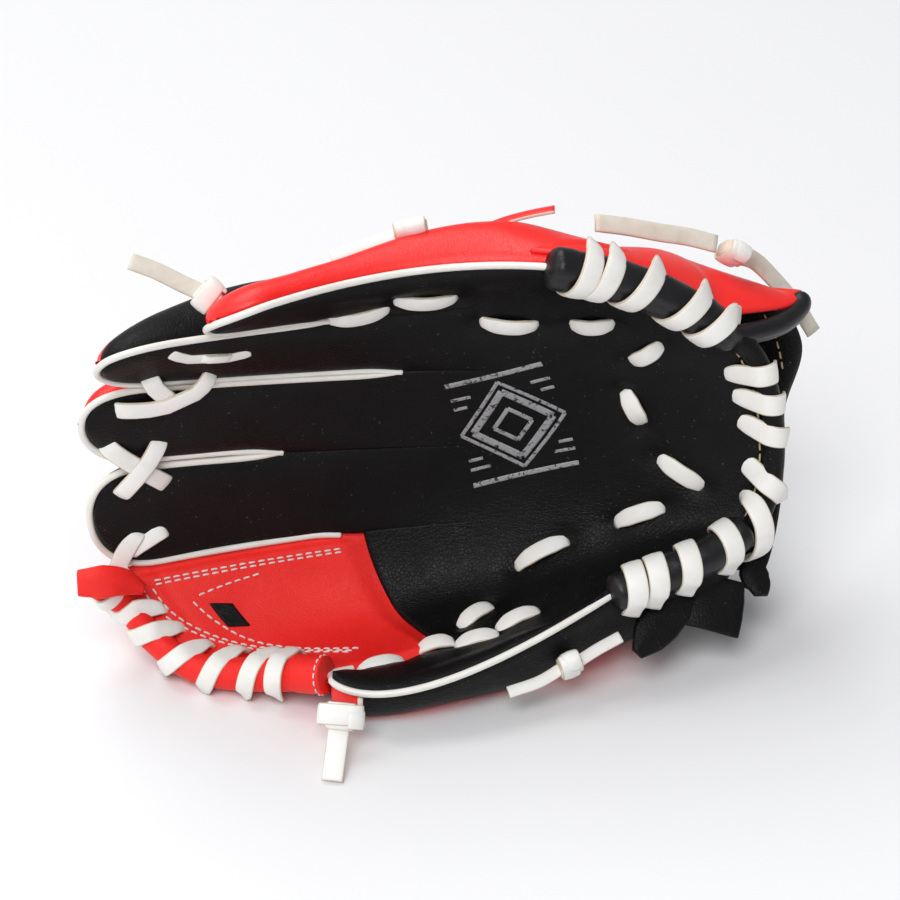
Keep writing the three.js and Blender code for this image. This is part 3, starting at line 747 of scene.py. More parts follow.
def pipings():
    """White piping in the seam round each digit."""
    for name, start, end in (("index", 0.63, 0.71), ("middle", 0.71, 0.52), ("ring", 0.52, 0.63),
                             ("pinky", 0.63, -0.004)):
        k = DIGITS[name]
        edge = outline(k, start, end)
        middle = k + 0.5
        away = edge[:, 1] + np.sign(edge[:, 1] - middle) * 0.012
        points = at(edge[:, 0] + 0.004, away, PIPING_H - 0.35)
        piece(f"{name}_seam_piping", tube(points, PIPING_RADIUS, up=(0, -1, 0), sides=10), PIPING,
              FINGER_SIDE, [f"{name}_piping"])
    edge = outline(THUMB, -0.01, 0.86)
    out = at(edge[:, 0], edge[:, 1] + np.sign(edge[:, 1] - 0.5) * 0.03, PIPING_H - 0.3)
    piece("thumb_seam_piping", tube(out, PIPING_RADIUS, sides=10), PIPING, THUMB_SIDE, ["thumb_piping"])


# ---- rolled edges and the lace wound over them --------------------------------------------------
class Edge:
    """A rolled edge: its middle line, the way it faces and the way out of the glove."""

    def __init__(self, points, ups):
        self.path, up = spline(points, 160), spline(ups, 160)
        tangent = unit(np.gradient(self.path, axis=0))
        out = unit(np.cross(up, tangent))
        inner = at(0.5, 3.0)
        self.out = -out if np.sum(out * (inner - self.path)) > 0 else out
        self.up = unit(up - tangent * np.sum(up * tangent, axis=1, keepdims=True))
        self.s = arc(self.path) / MM
        self.length = self.s[-1]

    def local(self, s, x, y):
        """The point s along, x outward and y towards the palm side of the middle line."""
        path, out, up = (sample(table, self.s, s) for table in (self.path, self.out, self.up))
        return path + (out * np.reshape(x, (-1, 1)) + up * np.reshape(y, (-1, 1))) * MM, out, up

    def nearest(self, point):
        return self.s[np.linalg.norm(self.path - point, axis=1).argmin()]


def wrap(edge, s, radius, lead, shift, rise=1.2, width=LACE_WIDTH, squash=1.0):
    """One turn of lace: up through the leather, over the roll and down behind it.

    lead is how far from the roll it comes up, or 0 where it hugs the roll, and shift is how far along
    the edge it travels on its way over.
    """
    r = radius + LACE_THICKNESS / 2 + 0.1
    if lead:
        angle = np.radians(np.arange(75, 216, 12))
        x = [-r - lead, -r - lead * 0.75, -r - lead * 0.25]
        y = [-1.8, rise * 0.7, rise + 0.35 * (r * squash - rise)]
    else:
        angle = np.radians(np.arange(-6, 216, 15))
        x, y = [-r * 0.72], [-r * 0.72]
    x = np.concatenate([x, -r * np.cos(angle), [r * 0.45]])
    y = np.concatenate([y, r * np.sin(angle) * squash, [-r - 1.5]])
    steps = np.append(0, np.cumsum(np.hypot(np.diff(x), np.diff(y))))
    along = s + shift * (steps / steps[-1] - 0.5)
    points, out, up = edge.local(along, x, y)
    points[:, 2] = np.maximum(points[:, 2], (CLEAR_OF_FLOOR + 1.4) * MM)
    toward = out * np.reshape(x, (-1, 1)) + up * np.reshape(np.maximum(y, 0.5) + radius * 0.3, (-1, 1))
    if lead:
        toward[:3] = up[:3] - out[:3] * 0.25
    path = spline(points, 30)
    taper = (0.45, 0.9) if lead else (0.9, 0.9)
    lace = ribbon(path, unit(spline(unit(toward), 30)), width, taper=taper, cup=0.2)
    lace.points[:, 2] = np.maximum(lace.points[:, 2], CLEAR_OF_FLOOR * MM)
    return lace


DOWN = np.array([0.0, -0.574, -0.819])     # towards the floor and the open side of the pocket
ROLL_H = -1.0                              # height of the rolls' middle line


def heel_drop(v):
    """How far the pinky's roll hangs below the edge of the palm, millimetres."""
    return 4.2 * smooth(6.8 - np.asarray(v, float), 0, 0.9) * smooth(np.asarray(v, float), 5.3, 5.6)


def heel_edge(v_from, v_to, extra=()):
    """The rolled heel edge between two values of v, and on through extra points of the layout."""
    places = np.linspace(v_from, v_to, 11)
    points = at(0, places, ROLL_H) + DOWN * heel_drop(places)[:, None] * MM
    ups = facing(0, places)
    if len(extra):
        points = np.vstack([points, place(*extra)])
        ups = np.vstack([ups] + [ups[-1:]] * len(extra))
    return Edge(points, ups)


def heel_turns(edge, places):
    """How far along the edge each turn of lace is, for places in v."""
    return [edge.nearest(at(0, v, ROLL_H)) for v in places]


def seamed(angle_at, wraps, puckered):
    """The outline of a padded roll: a seam groove, a pinch under each turn of lace and a gathered end."""
    def shape(s, angle):
        around = np.angle(np.exp(1j * (angle - angle_at)))
        groove = 1 - 0.13 * np.exp(-(around / 0.2) ** 2)
        pinch = np.ones_like(s)
        for w in wraps:
            pinch = pinch - 0.05 * np.exp(-((s - w) / 3.2) ** 2)
        folds = 0.07 * np.exp(-np.abs(s - puckered) / 2.0) * np.cos(5 * angle + 1.4 * np.sin(2 * angle))
        return groove * pinch * (1 + 0.012 * np.sin(s * 0.9 + 2 * angle)) * (1 + folds)
    return shape


def pinky_roll_edge():
    """The pinky's heel edge, which ends in a thin curl round the corner of the red wall."""
    return heel_edge(7.03, 5.55, [(121, 41, 95.2), (127.5, 47, 94.6), (132, 54, 94.6), (132.5, 59, 96.6)])


def heel():
    """Padded rolls at the heel, the bound edge between them and the spiral lace."""
    pinky = pinky_roll_edge()
    turns = heel_turns(pinky, (6.81, 6.67, 6.42, 6.03, 5.72))
    padded = seamed(1.9, turns, 0.0)
    thins = pinky.nearest(at(0, 5.66, ROLL_H))

    def curling(s, angle):
        return padded(s, angle) * (1 - 0.50 * smooth(s, thins - 2, thins + 9))

    roll = tube(pinky.path, PINKY_ROLL_RADIUS, up=pinky.up[0], sides=32, step=0.8, shape=curling)
    piece("pinky_heel_padded_roll", roll, GLOSS, FINGER_SIDE, ["pinky_heel_roll"])
    laces = [wrap(pinky, s, PINKY_ROLL_RADIUS, 0, shift, width=WIDE_LACE)
             for s, shift in zip(turns, (7.5, 8.5, 12.0, 12.0, 9.0))]
    lace_piece("pinky_heel_spiral_lace", joined(laces), FINGER_SIDE, ["pinky_heel_lace"])

    middle = heel_edge(5.5, 2.35)
    binding = tube(middle.path, BINDING_RADIUS, up=middle.up[0], sides=20, step=1.0, cap=0.8)
    piece("heel_edge_binding", binding, BLACK, None, ["heel_binding"])
    laces = [wrap(middle, s, BINDING_RADIUS, 8.5, shift, rise=1.3, width=WIDE_LACE)
             for s, shift in zip(heel_turns(middle, (4.95, 4.62, 4.26, 3.60)), (7.0, 7.0, 8.5, 13.0))]
    # the turn that goes round the corner between this edge and the thumb's roll
    laces.append(tail([(115.5, 25.5, 45), (116, 22.5, 48.8), (118.8, 18.3, 48.2), (121.3, 14.8, 43.5),
                       (121.6, 13.8, 37), (120, 16.5, 31), (117, 21, 27)],
                      unit(np.array([(-0.4, -0.6, 0.7), (-0.2, -0.7, 0.7), (0.1, -0.8, 0.6),
                                     (0.3, -0.85, 0.4), (0.4, -0.9, 0.2), (0.45, -0.85, -0.1),
                                     (0.5, -0.6, -0.6)])),
                      WIDE_LACE, count=30, cup=0.2, taper=(0.5, 0.9)))
    lace_piece("middle_heel_spiral_lace", joined(laces), None, ["middle_heel_lace"])

    thumb = heel_edge(2.35, -0.08)
    turns = heel_turns(thumb, (1.66, 0.86, 0.46, 0.22))
    roll = tube(thumb.path, ROLL_RADIUS, up=thumb.up[0], sides=32, step=0.8,
                shape=seamed(0.9, turns, thumb.length))
    piece("thumb_heel_padded_roll", roll, GLOSS, None, ["thumb_heel_roll"])
    laces = [wrap(thumb, s, ROLL_RADIUS, 0, 7.0, width=WIDE_LACE) for s in turns]
    lace_piece("thumb_heel_spiral_lace", joined(laces), None, ["thumb_heel_lace"])
    v = np.linspace(5.35, 2.45, 70)
    seam = stitches(at(0.018, v, -0.1), facing(0.018, v), 2.4, 1.1, 0.3)
    piece("heel_seam_stitching", seam, TAN_THREAD, None)


# ---- web ----------------------------------------------------------------------------------------
WEB_ROLL_H = -0.8
WEB_CUFF = 11                              # length of the doubled leather at the thumb end


def web_edge():
    places = np.append(np.linspace(2.7, 1.2, 8), 0.84)
    points = np.vstack([place([-75.5, 4, 31.5]), at(1, places, WEB_ROLL_H)])
    ups = np.vstack([unit(np.array([[0.1, -0.75, 0.66]])), facing(1, places)])
    return Edge(points, ups)


def web_height(u, v):
    tucked = smooth(u, 0.595, 0.64) * smooth(3.02 - v, 0.03, 0.14) * smooth(v - 0.98, 0.02, 0.14)
    seam = 0.93
    groove = np.exp(-(((u - seam) / 0.008) ** 2))
    return -2.0 + 2.0 * tucked - 0.35 * groove - 0.8 * smooth(u, seam, 0.985)


def web_sheet(us, vs, lift, thickness):
    u, v = patch(us, vs, 66, 84)
    h = web_height(u, v) + lift + ripple(at(u, v), 0.3, 16)
    return thicken(skin(u, v, h, thickness + 0.05), thickness)


def web():
    face = web_sheet((0.575, 0.985), (0.95, 3.03), 0.0, 1.5)
    back = web_sheet((0.60, 0.975), (1.0, 2.98), -1.9, 1.1)
    piece("web_face_panel", face, WEB_RED, None, ["web_panel"])
    piece("web_back_panel", back, WEB_RED, None, ["web_backing"])
    edge = web_edge()
    cuff_start = edge.length - WEB_CUFF

    def fat(s):
        return 1 + 0.30 * smooth(s, 20, edge.length - 12)

    def cuffed(s, angle):
        flat = 1 - 0.55 * (1 - smooth(s, 5, 24)) * np.sin(angle) ** 2
        doubled = 0.12 * smooth(s, cuff_start, cuff_start + 1)
        return fat(s) * flat + doubled + 0.02 * np.sin(s * 0.7 + angle)

    roll = tube(edge.path, WEB_ROLL_RADIUS, up=edge.up[0], sides=26, step=0.8, cap=0.15, shape=cuffed)
    piece("web_rolled_edge", roll, WEB_RED, None, ["web_roll"])
    fold = flap([(-61, 8.5, 25), (-67, 5, 30.8), (-73, 2.6, 32.6), (-79, 1.6, 33)],
                [(0.1, -0.75, 0.66)] * 4, [3, 7.5, 9.5, 7.5], 1.2)
    piece("web_end_fold", fold, WEB_RED, None)
    turns = [9.5] + [edge.nearest(at(1, v, WEB_ROLL_H)) for v in (2.64, 2.39, 2.07, 1.76, 1.50)]
    laces = [wrap(edge, s, WEB_ROLL_RADIUS * fat(s), 4.5, -6.0 - 6.0 * smooth(s, 9, 22),
                  squash=0.5 + 0.5 * smooth(s, 5, 24)) for s in turns]
    last = edge.nearest(at(1, 1.33, WEB_ROLL_H))
    laces.append(wrap(edge, last, WEB_ROLL_RADIUS * fat(last) + 0.3, 3.5, -7.0, rise=1.4))
    lace_piece("web_spiral_lace", joined(laces), None, ["web_lace"])

    threads = []
    for route in (
        [(0.64, 2.84), (0.80, 2.85), (0.955, 2.86)], [(0.64, 2.80), (0.80, 2.81), (0.945, 2.82)],
        [(0.965, 2.84), (0.962, 2.58), (0.945, 2.36), (0.91, 2.08), (0.85, 1.70), (0.78, 1.36)],
        [(0.950, 2.80), (0.947, 2.57), (0.930, 2.34), (0.895, 2.06), (0.838, 1.70), (0.77, 1.38)],
        [(0.78, 2.72), (0.84, 2.68), (0.905, 2.62)],
        [(0.905, 2.60), (0.893, 2.35), (0.868, 2.02), (0.82, 1.68), (0.75, 1.40)],
    ):
        u, v = spline(route, 90).T
        threads.append(stitches(at(u, v, 0.1), facing(u, v), 2.0, 0.9, 0.32))
    ring = np.linspace(0, 2 * np.pi, 40)
    reach = WEB_ROLL_RADIUS * 1.42 + 0.1
    place_on = np.full(len(ring), edge.length - 1.4)
    around, out, up = edge.local(place_on, reach * np.cos(ring), reach * np.sin(ring))
    away = out * np.cos(ring)[:, None] + up * np.sin(ring)[:, None]
    threads.append(stitches(around, away, 1.6, 0.8, 0.25))
    piece("web_stitching", joined(threads), THREAD, None)

    us, slant = (0.850, 0.882), 1.6
    u, v = patch(us, (2.24, 2.50), 10, 18)
    v = v + (u - sum(us) / 2) * slant
    piece("web_black_patch", thicken(skin(u, v, 0.75), 0.6), BLACK, None, ["web_patch"])


# ---- laces threaded through the palm and the fingers --------------------------------------------
def run(a, b):
    """A visible run of lace between two holes, [u, v] each, bowed up from the leather."""
    t = np.linspace(0, 1, 16)
    u, v = a[0] + (b[0] - a[0]) * t, a[1] + (b[1] - a[1]) * t
    lift = -2.2 + 3.05 * np.sin(np.pi * t) ** 0.55
    return ribbon(at(u, v, lift), facing(u, v), taper=(0.7, 0.7), cup=0.25)


def threaded_laces():
    lace_piece("palm_threaded_lace", joined(run(a, b) for a, b in PALM_RUNS), None, ["palm_lace"])
    lace_piece("thumb_threaded_lace", joined(run(a, b) for a, b in THUMB_RUNS), None, ["thumb_lace"])


def strap_lace(route, width=LACE_WIDTH):
    """A lace over the fingers through [u, v, h] points."""
    u, v, h = spline(route, 24).T
    return ribbon(at(u, v, h), facing(u, v), width, taper=(0.8, 0.8), cup=0.2)


def finger_laces():
    """The laces that cross from finger to finger near the tips."""
    for name, node, straps in (
        ("pinky_ring", "pinky_ring", [
            ([(0.925, 5.88, -1.2), (0.90, 5.74, 0.8), (0.87, 5.62, 1.3), (0.835, 5.56, 1.4),
              (0.80, 5.56, 1.3), (0.77, 5.61, 0.8), (0.75, 5.70, -1.2)], 3.8),
            ([(0.855, 5.64, -0.8), (0.845, 5.62, 1.9), (0.825, 5.60, 2.4), (0.805, 5.59, 1.9),
              (0.80, 5.58, -0.8)], 2.9),
        ]),
        ("ring_middle", "ring_middle", [
            ([(0.92, 5.24, -2.0), (0.915, 5.18, 1.6), (0.90, 5.0, 2.4), (0.875, 4.80, 1.8),
              (0.865, 4.72, -2.0)],),
            ([(0.82, 5.24, -2.0), (0.828, 5.17, 1.8), (0.85, 4.98, 3.6), (0.895, 4.80, 3.4),
              (0.95, 4.74, 1.6), (0.965, 4.72, -2.0)],),
        ]),
        ("middle_index", "middle_index", [
            ([(0.975, 4.30, -2.0), (0.965, 4.22, 1.6), (0.93, 4.0, 2.4), (0.895, 3.81, 1.6),
              (0.888, 3.77, -2.0)],),
            ([(0.895, 4.32, -2.0), (0.90, 4.24, 1.8), (0.925, 4.0, 3.6), (0.955, 3.76, 2.0),
              (0.962, 3.70, -2.0)],),
        ]),
        ("index_web", "index", [
            ([(0.935, 3.40, -2.0), (0.945, 3.33, 1.6), (0.965, 3.20, 1.9), (0.98, 3.08, 2.0),
              (0.99, 2.99, -1.0)],),
            ([(0.895, 3.36, -2.0), (0.905, 3.34, 1.5), (0.935, 3.26, 1.9), (0.955, 3.20, 1.2),
              (0.96, 3.18, -1.0)],),
        ]),
    ):
        laces = joined(strap_lace(*strap) for strap in straps)
        lace_piece(f"{name}_tip_lace", laces, FINGER_SIDE, [f"{node}_lace"])


# ---- print in the palm --------------------------------------------------------------------------
def palm_print():
    """A plain mark of nested diamonds between two bars, pressed into the palm."""
    middle, tilt = np.array([0.368, 4.28]), np.radians(-13)
    scale = np.array([1 / 215.0, 1 / 26.0])    # u and v for each millimetre across the print
    digit, raised, ink = DIGITS["middle"], 0.16, 0.12

    def bar(a, b, width):
        t = np.linspace(0, 1, max(4, int(np.hypot(b[0] - a[0], b[1] - a[1]) / 1.2)))[:, None]
        a, b = np.array(a, float), np.array(b, float)
        side = np.array([a[1] - b[1], b[0] - a[0]]) / np.hypot(*(b - a)) * width / 2
        rows = [a + (b - a) * t + side * k for k in (-1, -0.5, 0, 0.5, 1)]
        x, y = np.moveaxis(np.stack(rows, axis=1), -1, 0)
        cos, sin = np.cos(tilt), np.sin(tilt)
        turned = np.stack([x * cos - y * sin, x * sin + y * cos], axis=-1)
        grid = middle + turned * scale
        u, v = grid[..., 0], grid[..., 1]
        flat = at(u, v)
        h = palm_height(digit, u, v - digit) - pull(flat) + ripple(flat, *PALM_RIPPLE) + raised
        return thicken(faced(at(u, v, h), facing(u, v)), ink)

    bars = []
    for size, width in ((15, 1.1), (11.5, 2.2), (5.5, 1.3)):
        corners = [(-size * 1.15, 0), (0, size), (size * 1.15, 0), (0, -size)]
        bars += [bar(corners[i], corners[(i + 1) % 4], width) for i in range(4)]
    for side in (-1, 1):
        bars.append(bar((-17, side * 17.5), (17, side * 17.5), 1.6))
        bars += [bar((side * 17, y * (9 + 3.2 * k)), (side * (12.5 - 2.2 * k), y * (9 + 3.2 * k)), 1.0)
                 for y in (1, -1) for k in range(2)]
    piece("palm_print", joined(bars), SILVER, None, ["palm_mark"])


# ---- red wall at the pinky side -----------------------------------------------------------------
def pinky_side():
    """The red wall below the pinky's roll, which closes round the heel of the pinky's back."""
    places = np.linspace(6.97, 5.75, 10)
    swell = np.maximum(1 - np.clip((places - 6.45) / 0.56, 0, 1) ** 2.2, 0) ** 0.5
    depths = np.maximum((11.0 + 13.5 * (1 - smooth(places, 5.5, 6.6))) * swell, 5.2)
    # place, v, depth and how far the upper edge hangs, along the heel and round the corner
    rows = [[*(at(0, v) / MM + ORIGIN), v, depth, heel_drop(v)] for v, depth in zip(places, depths)]
    rows += [[122, 44, 98.5, 5.6, 15.5, 2], [128, 50, 96.5, 5.5, 9.5, 1.5], [130.5, 55, 96, 5.5, 5.4, 1]]
    table = spline(rows, 60)
    s = np.linspace(0, 1, 22) * np.pi / 2
    base, (v, depth, drop) = table[:, :3], table[:, 3:].T
    top, reach_u = 5.0, 0.075              # depth of the wall's upper edge, and how far in it closes
    inward = unit(at(0.02, v) - at(0, v))
    reach = np.linalg.norm(at(reach_u, v) - at(0, v), axis=1) / MM
    h = -top - (depth[:, None] - top) * np.sin(s)
    run_in = reach[:, None] * (1 - np.cos(s)) - np.cos(s)
    points = base[:, None] + facing(0, v)[:, None] * h[..., None] + inward[:, None] * run_in[..., None]
    points = points + DOWN * (drop[:, None] * np.cos(s))[..., None]
    shell = Shape((points - ORIGIN) * MM, grid_faces(*h.shape))
    piece("pinky_heel_wall", thicken(shell, LEATHER), RED, FINGER_SIDE, ["pinky_side_panel"])
    seam = (points[44:58, 4] - ORIGIN) * MM        # just below the upper edge, round the corner
    corner = stitches(seam, (0.3, -0.9, 0.3), 1.9, 0.7, 0.35)
    piece("wall_corner_stitching", corner, TAN_THREAD, FINGER_SIDE)


# ---- back of the hand ---------------------------------------------------------------------------
def hand_depth(u, v):
    """The back of the hand, thinner towards the pinky and the fingers."""
    return HAND_THICKNESS * (1 - 0.22 * smooth(v, 4.8, 6)) * (1 - 0.12 * smooth(u, 0.3, 0.42))


def knuckle_depth(u, v):
    """The back panel, brought in to the finger backs, the pinky and the thumb at its edges."""
    depth = hand_depth(u, v)
    pinky_side_depth = 14
    depth = depth + (FINGER_THICKNESS - depth) * smooth(u, 0.38, 0.5)
    return depth + (pinky_side_depth - depth) * smooth(v, 5.75, 6.4)


def back_sheet(us, vs, depth, thickness, rows, columns, wave=0.35):
    """A panel of leather or cloth that lies depth below the palm surface."""
    u, v = patch(us, vs, rows, columns)
    h = -depth(u, v) + ripple(at(u, v), wave, 13)
    return thicken(skin(u, v, h, flip=True), thickness)


def pillow(us, vs, depth, thick, lean):
    """A padded band: two crowned faces that meet at a seam all round, wider by lean at the pinky end."""
    rows, columns, low = 26, 60, 0.2
    u, v = patch(us, vs, rows, columns)
    a, b = np.linspace(-1, 1, rows)[:, None], np.linspace(-1, 1, columns)[None, :]
    u = u - lean * smooth(v, 4.0, 4.8) * (1 - a) / 2
    crown = (1 - np.abs(a) ** 3.5) ** 0.5 * (1 - np.abs(b) ** 14) ** 0.5
    outer = skin(u, v, -depth(u, v) - thick * 0.5 * crown, low, flip=True)
    inner = skin(u, v, -depth(u, v) + thick * 0.5 * crown, low + 0.01)
    return weld(outer + inner)


def border(us, vs, depth, inset_u, inset_v, lift):
    """A row of stitches just inside the edge of a panel on the back."""
    low = 0.6
    u0, u1, v0, v1 = us[0] + inset_u, us[1] - inset_u, vs[0] + inset_v, vs[1] - inset_v
    corners = [(u0, v0), (u1, v0), (u1, v1), (u0, v1), (u0, v0)]
    rows = []
    for (ua, va), (ub, vb) in zip(corners, corners[1:]):
        u, v = np.linspace(ua, ub, 40), np.linspace(va, vb, 40)
        rows.append(stitches(at(u, v, -depth(u, v) - lift, low), -facing(u, v), 2.2, 1.1, 0.28))
    return joined(rows)


def knuckles():
    """The back panel over the knuckles, its lining, welts and stitching."""
    us, vs = (0.175, 0.47), (2.05, 6.3)
    panel = back_sheet(us, vs, knuckle_depth, LEATHER, 44, 110)
    piece("knuckle_back_panel", panel, BLACK, FINGER_SIDE, ["knuckle_panel"])
    lining = back_sheet((0.18, 0.45), (2.3, 6.1), lambda u, v: knuckle_depth(u, v) - LEATHER - 0.6,
                        0.7, 20, 50)
    piece("hand_back_lining", lining, LINING, FINGER_SIDE, ["back_lining"])
    u = np.linspace(0.30, us[1], 40)
    radius, between_fingers = 0.85, (3.0, 4.0, 5.0)
    lines = [at(u, np.full(len(u), v), -knuckle_depth(u, v) - 0.35, 0.7) for v in between_fingers]
    welts = [tube(line, radius, sides=8, up=(0, 1, 0)) for line in lines]
    piece("knuckle_welts", joined(welts), PIPING, FINGER_SIDE)
    threads = border(us, (vs[0], 6.0), knuckle_depth, 0.014, 0.08, 0.1)
    piece("knuckle_stitching", threads, THREAD, FINGER_SIDE)


def wrist_band():
    """The padded band across the wrist, with stitching along its middle and its upper edge."""
    def sunk(u, v):
        return hand_depth(u, v) - 2.2 + 1.4 * smooth(v, 4.0, 4.8)

    band = pillow((0.012, 0.10), (2.4, 5.25), sunk, 4.8, 0.032)
    piece("wrist_padded_band", band, BLACK, FINGER_SIDE, ["wrist_band"])
    u, v = np.full(90, 0.055), np.linspace(2.5, 5.1, 90)
    channel = stitches(at(u, v, -hand_depth(u, v) - 0.1), -facing(u, v), 2.4, 1.1, 0.28)
    v = np.linspace(4.5, 5.15, 40)
    near = stitches(at(0.008, v, -hand_depth(0, v) + 3.4), facing(0, v), 2.4, 1.1, 0.3)
    piece("wrist_band_stitching", channel + near, TAN_THREAD, FINGER_SIDE)


def strap_and_closure():
    """The strap that closes the wrist, what it is fixed to and what it closes on."""
    over_tab, at_pinky = 2.0, 16

    def anchor_depth(u, v):
        held = hand_depth(u, v) + over_tab
        return held + (at_pinky - hand_depth(u, v) - over_tab) * smooth(v, 5.45, 6.25)

    def strap_depth(u, v):
        return hand_depth(u, v) + STRAP_GAP + STRAP_THICKNESS

    us, vs = (0.10, 0.19), (3.0, 5.4)
    tab = back_sheet(us, (2.4, 3.9), hand_depth, LEATHER, 16, 50, 0.1)
    piece("closure_leather_tab", tab, BLACK, FINGER_SIDE, ["closure_tab"])
    fuzz = 0.9
    for name, node, lift, body in (("closure_loop_side", "loop_patch", 0.3, FINGER_SIDE),
                                   ("closure_hook_side", "hook_patch", 1.5, STRAP)):
        pad = back_sheet((0.112, 0.178), (3.02, 3.88), lambda u, v: hand_depth(u, v) + lift + fuzz,
                         fuzz, 12, 30, 0)
        piece(name, pad, FUZZ, body, [node])
    anchor = back_sheet((0.085, 0.20), (5.15, 6.3), anchor_depth, 1.5, 20, 40, 0.15)
    piece("strap_anchor_panel", anchor, BLACK, FINGER_SIDE)
    strap = back_sheet(us, vs, strap_depth, STRAP_THICKNESS, 18, 80, 0.12)
    piece("wrist_strap_leather", strap, BLACK, STRAP, ["wrist_strap"])
    threads = border(us, vs, strap_depth, 0.012, 0.07, 0.05)
    piece("wrist_strap_stitching", threads, THREAD, STRAP)


def thumb_gusset():
    """Soft leather that joins the thumb's back to the back of the hand across the fold."""
    u, t = patch((0.14, 0.5), (0, 1), 34, 40)
    v_from, v_to = thumb_width(u) * 0.62, 2.45
    v = v_from + (v_to - v_from) * t
    near, far = thumb_depth(u) + 1.0, knuckle_depth(u, v_to) - 2.2
    h = -(near + (far - near) * smooth(t)) - ripple(at(u, v), 0.5, 10)
    shell = thicken(skin(u, v, h, 0.4, flip=True), 1.3)
    piece("thumb_fold_gusset", shell, BLACK, THUMB_SIDE)


# ---- knots, tails and tabs ----------------------------------------------------------------------
def collar(centre, axis, wide, a, b, width):
    """Lace wrapped round itself: a flattened loop about axis, wide across the direction wide."""
    turns, count = 1.3, 46
    axis = unit(np.array(axis, float))
    wide = np.array(wide, float)
    wide = unit(wide - axis * (wide @ axis))
    deep = np.cross(axis, wide)
    angle = np.linspace(-0.6, 2 * np.pi * turns - 0.6, count)
    grow = 1 + 0.10 * np.linspace(0, 1, count)
    x, y = squared(np.cos(angle), 0.8) * a * grow, squared(np.sin(angle), 0.8) * b * grow
    z = np.linspace(-0.16, 0.16, count) * width
    path = place(centre)[0] + (x[:, None] * wide + y[:, None] * deep + z[:, None] * axis) * MM
    up = unit(x[:, None] * wide / a**2 + y[:, None] * deep / b**2)
    return ribbon(path, up, width, taper=(0.9, 0.8), cup=0.3)


def knot(centre, axis, wide, a, b, width=LACE_WIDTH):
    """A collar with the folded lace that fills it and shows a little on both sides."""
    along = unit(np.array(axis, float))
    line = place(centre)[0] + np.linspace(-0.62, 0.62, 9)[:, None] * width * along * MM
    up = unit(np.cross(along, np.array(wide, float)))
    core = ribbon(line, up, 2 * a - 1.0, 2 * b - 0.6, taper=(0.72, 0.72))
    return collar(centre, along, wide, a, b, width) + core


def tail(points, ups, width, count=22, cup=0.3, taper=(1.0, 1.0)):
    """A lace end through points of the layout, its face towards ups."""
    path = spline(place(*points), count)
    return ribbon(path, unit(spline(ups, count)), width, taper=taper, cup=cup)


def knots_and_tails():
    lace_piece("thumb_lace_knot", knot([-2, -32.5, 11.5], (-0.1, -0.62, -0.78), (1, 0, 0), 6.0, 2.6, 6.2),
               THUMB_SIDE, ["thumb_knot"])
    ends = tail([(-2.2, -33.5, 10.5), (-2.8, -38, 7.8), (-3.4, -42.5, 4.8), (-4.2, -48.2, 1.1)],
                [(0.1, -0.5, 0.85), (0.05, -0.5, 0.85), (0, -0.55, 0.83), (0, -0.6, 0.8)], 6.2)
    lace_piece("thumb_lace_tail", ends, THUMB_SIDE, ["thumb_tail"])
    back = knot([64, -13, 14], (0.9, 0.3, 0.2), (0, -0.4, 0.9), 4.6, 2.6)
    for end in ([(66, -12.5, 14.5), (72, -9, 16.5), (79, -5.5, 18.5)],
                [(62, -13.6, 13.6), (55, -17.5, 11.5), (46, -20.5, 10.0)]):
        back = back + tail(end, [(0.1, -0.6, 0.8)] * 3, 3.6)
    lace_piece("thumb_back_lace_knot", back, THUMB_SIDE, ["thumb_back_knot"])
    lace_piece("ring_lace_knot", knot([-38.5, 25.5, 116], (-0.75, 0.25, 0.6), (0.5, 0.2, 0.6), 4.4, 2.2),
               FINGER_SIDE, ["ring_knot"])
    ends = tail([(-39.5, 25.8, 116.5), (-46, 27.2, 119.2), (-53, 28.6, 122.4), (-60, 29.4, 125)],
                [(0, -0.6, 0.8)] * 4, 5.0)
    lace_piece("ring_lace_tail", ends, FINGER_SIDE, ["ring_tail"], SUEDE_AND_SHADE)
    pinky = knot([18, 47, 124.6], (1, 0.1, 0.15), (0, -0.5, 0.86), 4.2, 2.2, 8.0)
    end = tail([(14, 46.2, 124), (6, 44.6, 121.8), (-5, 42.2, 118.6)], [(0, -0.6, 0.8)] * 3, 4.0)
    lace_piece("pinky_lace_knot", pinky + end, FINGER_SIDE, ["pinky_knot"])
    loop = tail([(41, 51, 124.2), (47, 51.6, 126.2), (53, 51.6, 127.9), (59, 51.6, 129.2)],
                [(0.1, 0.12, 0.98)] * 4, 4.5)
    piece("pinky_red_loop_tab", loop, [RED, LACE_CORE], FINGER_SIDE, ["pinky_loop_tab"])
    wrist = knot([112, 60, 109.5], (0.75, 0.1, -0.5), (0.3, -0.5, 0.7), 4.6, 2.6, 6.0)
    lace_piece("wrist_lace_knot", wrist, FINGER_SIDE, ["wrist_knot"])
    down = tail([(113.5, 61, 108.5), (119.5, 66, 103.5), (126.5, 68, 95.4), (134, 68, 86), (139, 65, 79)],
                [(0.35, -0.7, 0.6), (0.45, -0.65, 0.6), (0.5, -0.6, 0.6), (0.55, -0.6, 0.55),
                 (0.6, -0.6, 0.5)], 5.8)
    # the strand takes the darker lace colour: partly the lace's grey suede side, partly painted shade
    lace_piece("wrist_lace_strand", down, FINGER_SIDE, ["wrist_lace"], SUEDE_AND_SHADE)


def flap(points, ups, widths, thickness=1.3):
    """A leather flap along points whose width changes, with curling edges."""
    count, t = 24, np.linspace(-1, 1, 15)
    line, up = spline(place(*points), count), unit(spline(ups, count))
    half = np.interp(np.linspace(0, 1, count), np.linspace(0, 1, len(widths)), widths) / 2
    side = unit(np.cross(unit(np.gradient(line, axis=0)), up))
    curl = -0.9 * t**2 + 0.25 * np.sin(3 * t)
    across_it = side[:, None] * (half[:, None] * t)[..., None]
    points = line[:, None] + (across_it + up[:, None] * curl[None, :, None]) * MM
    return thicken(faced(points, np.repeat(up, len(t), axis=0)), thickness)


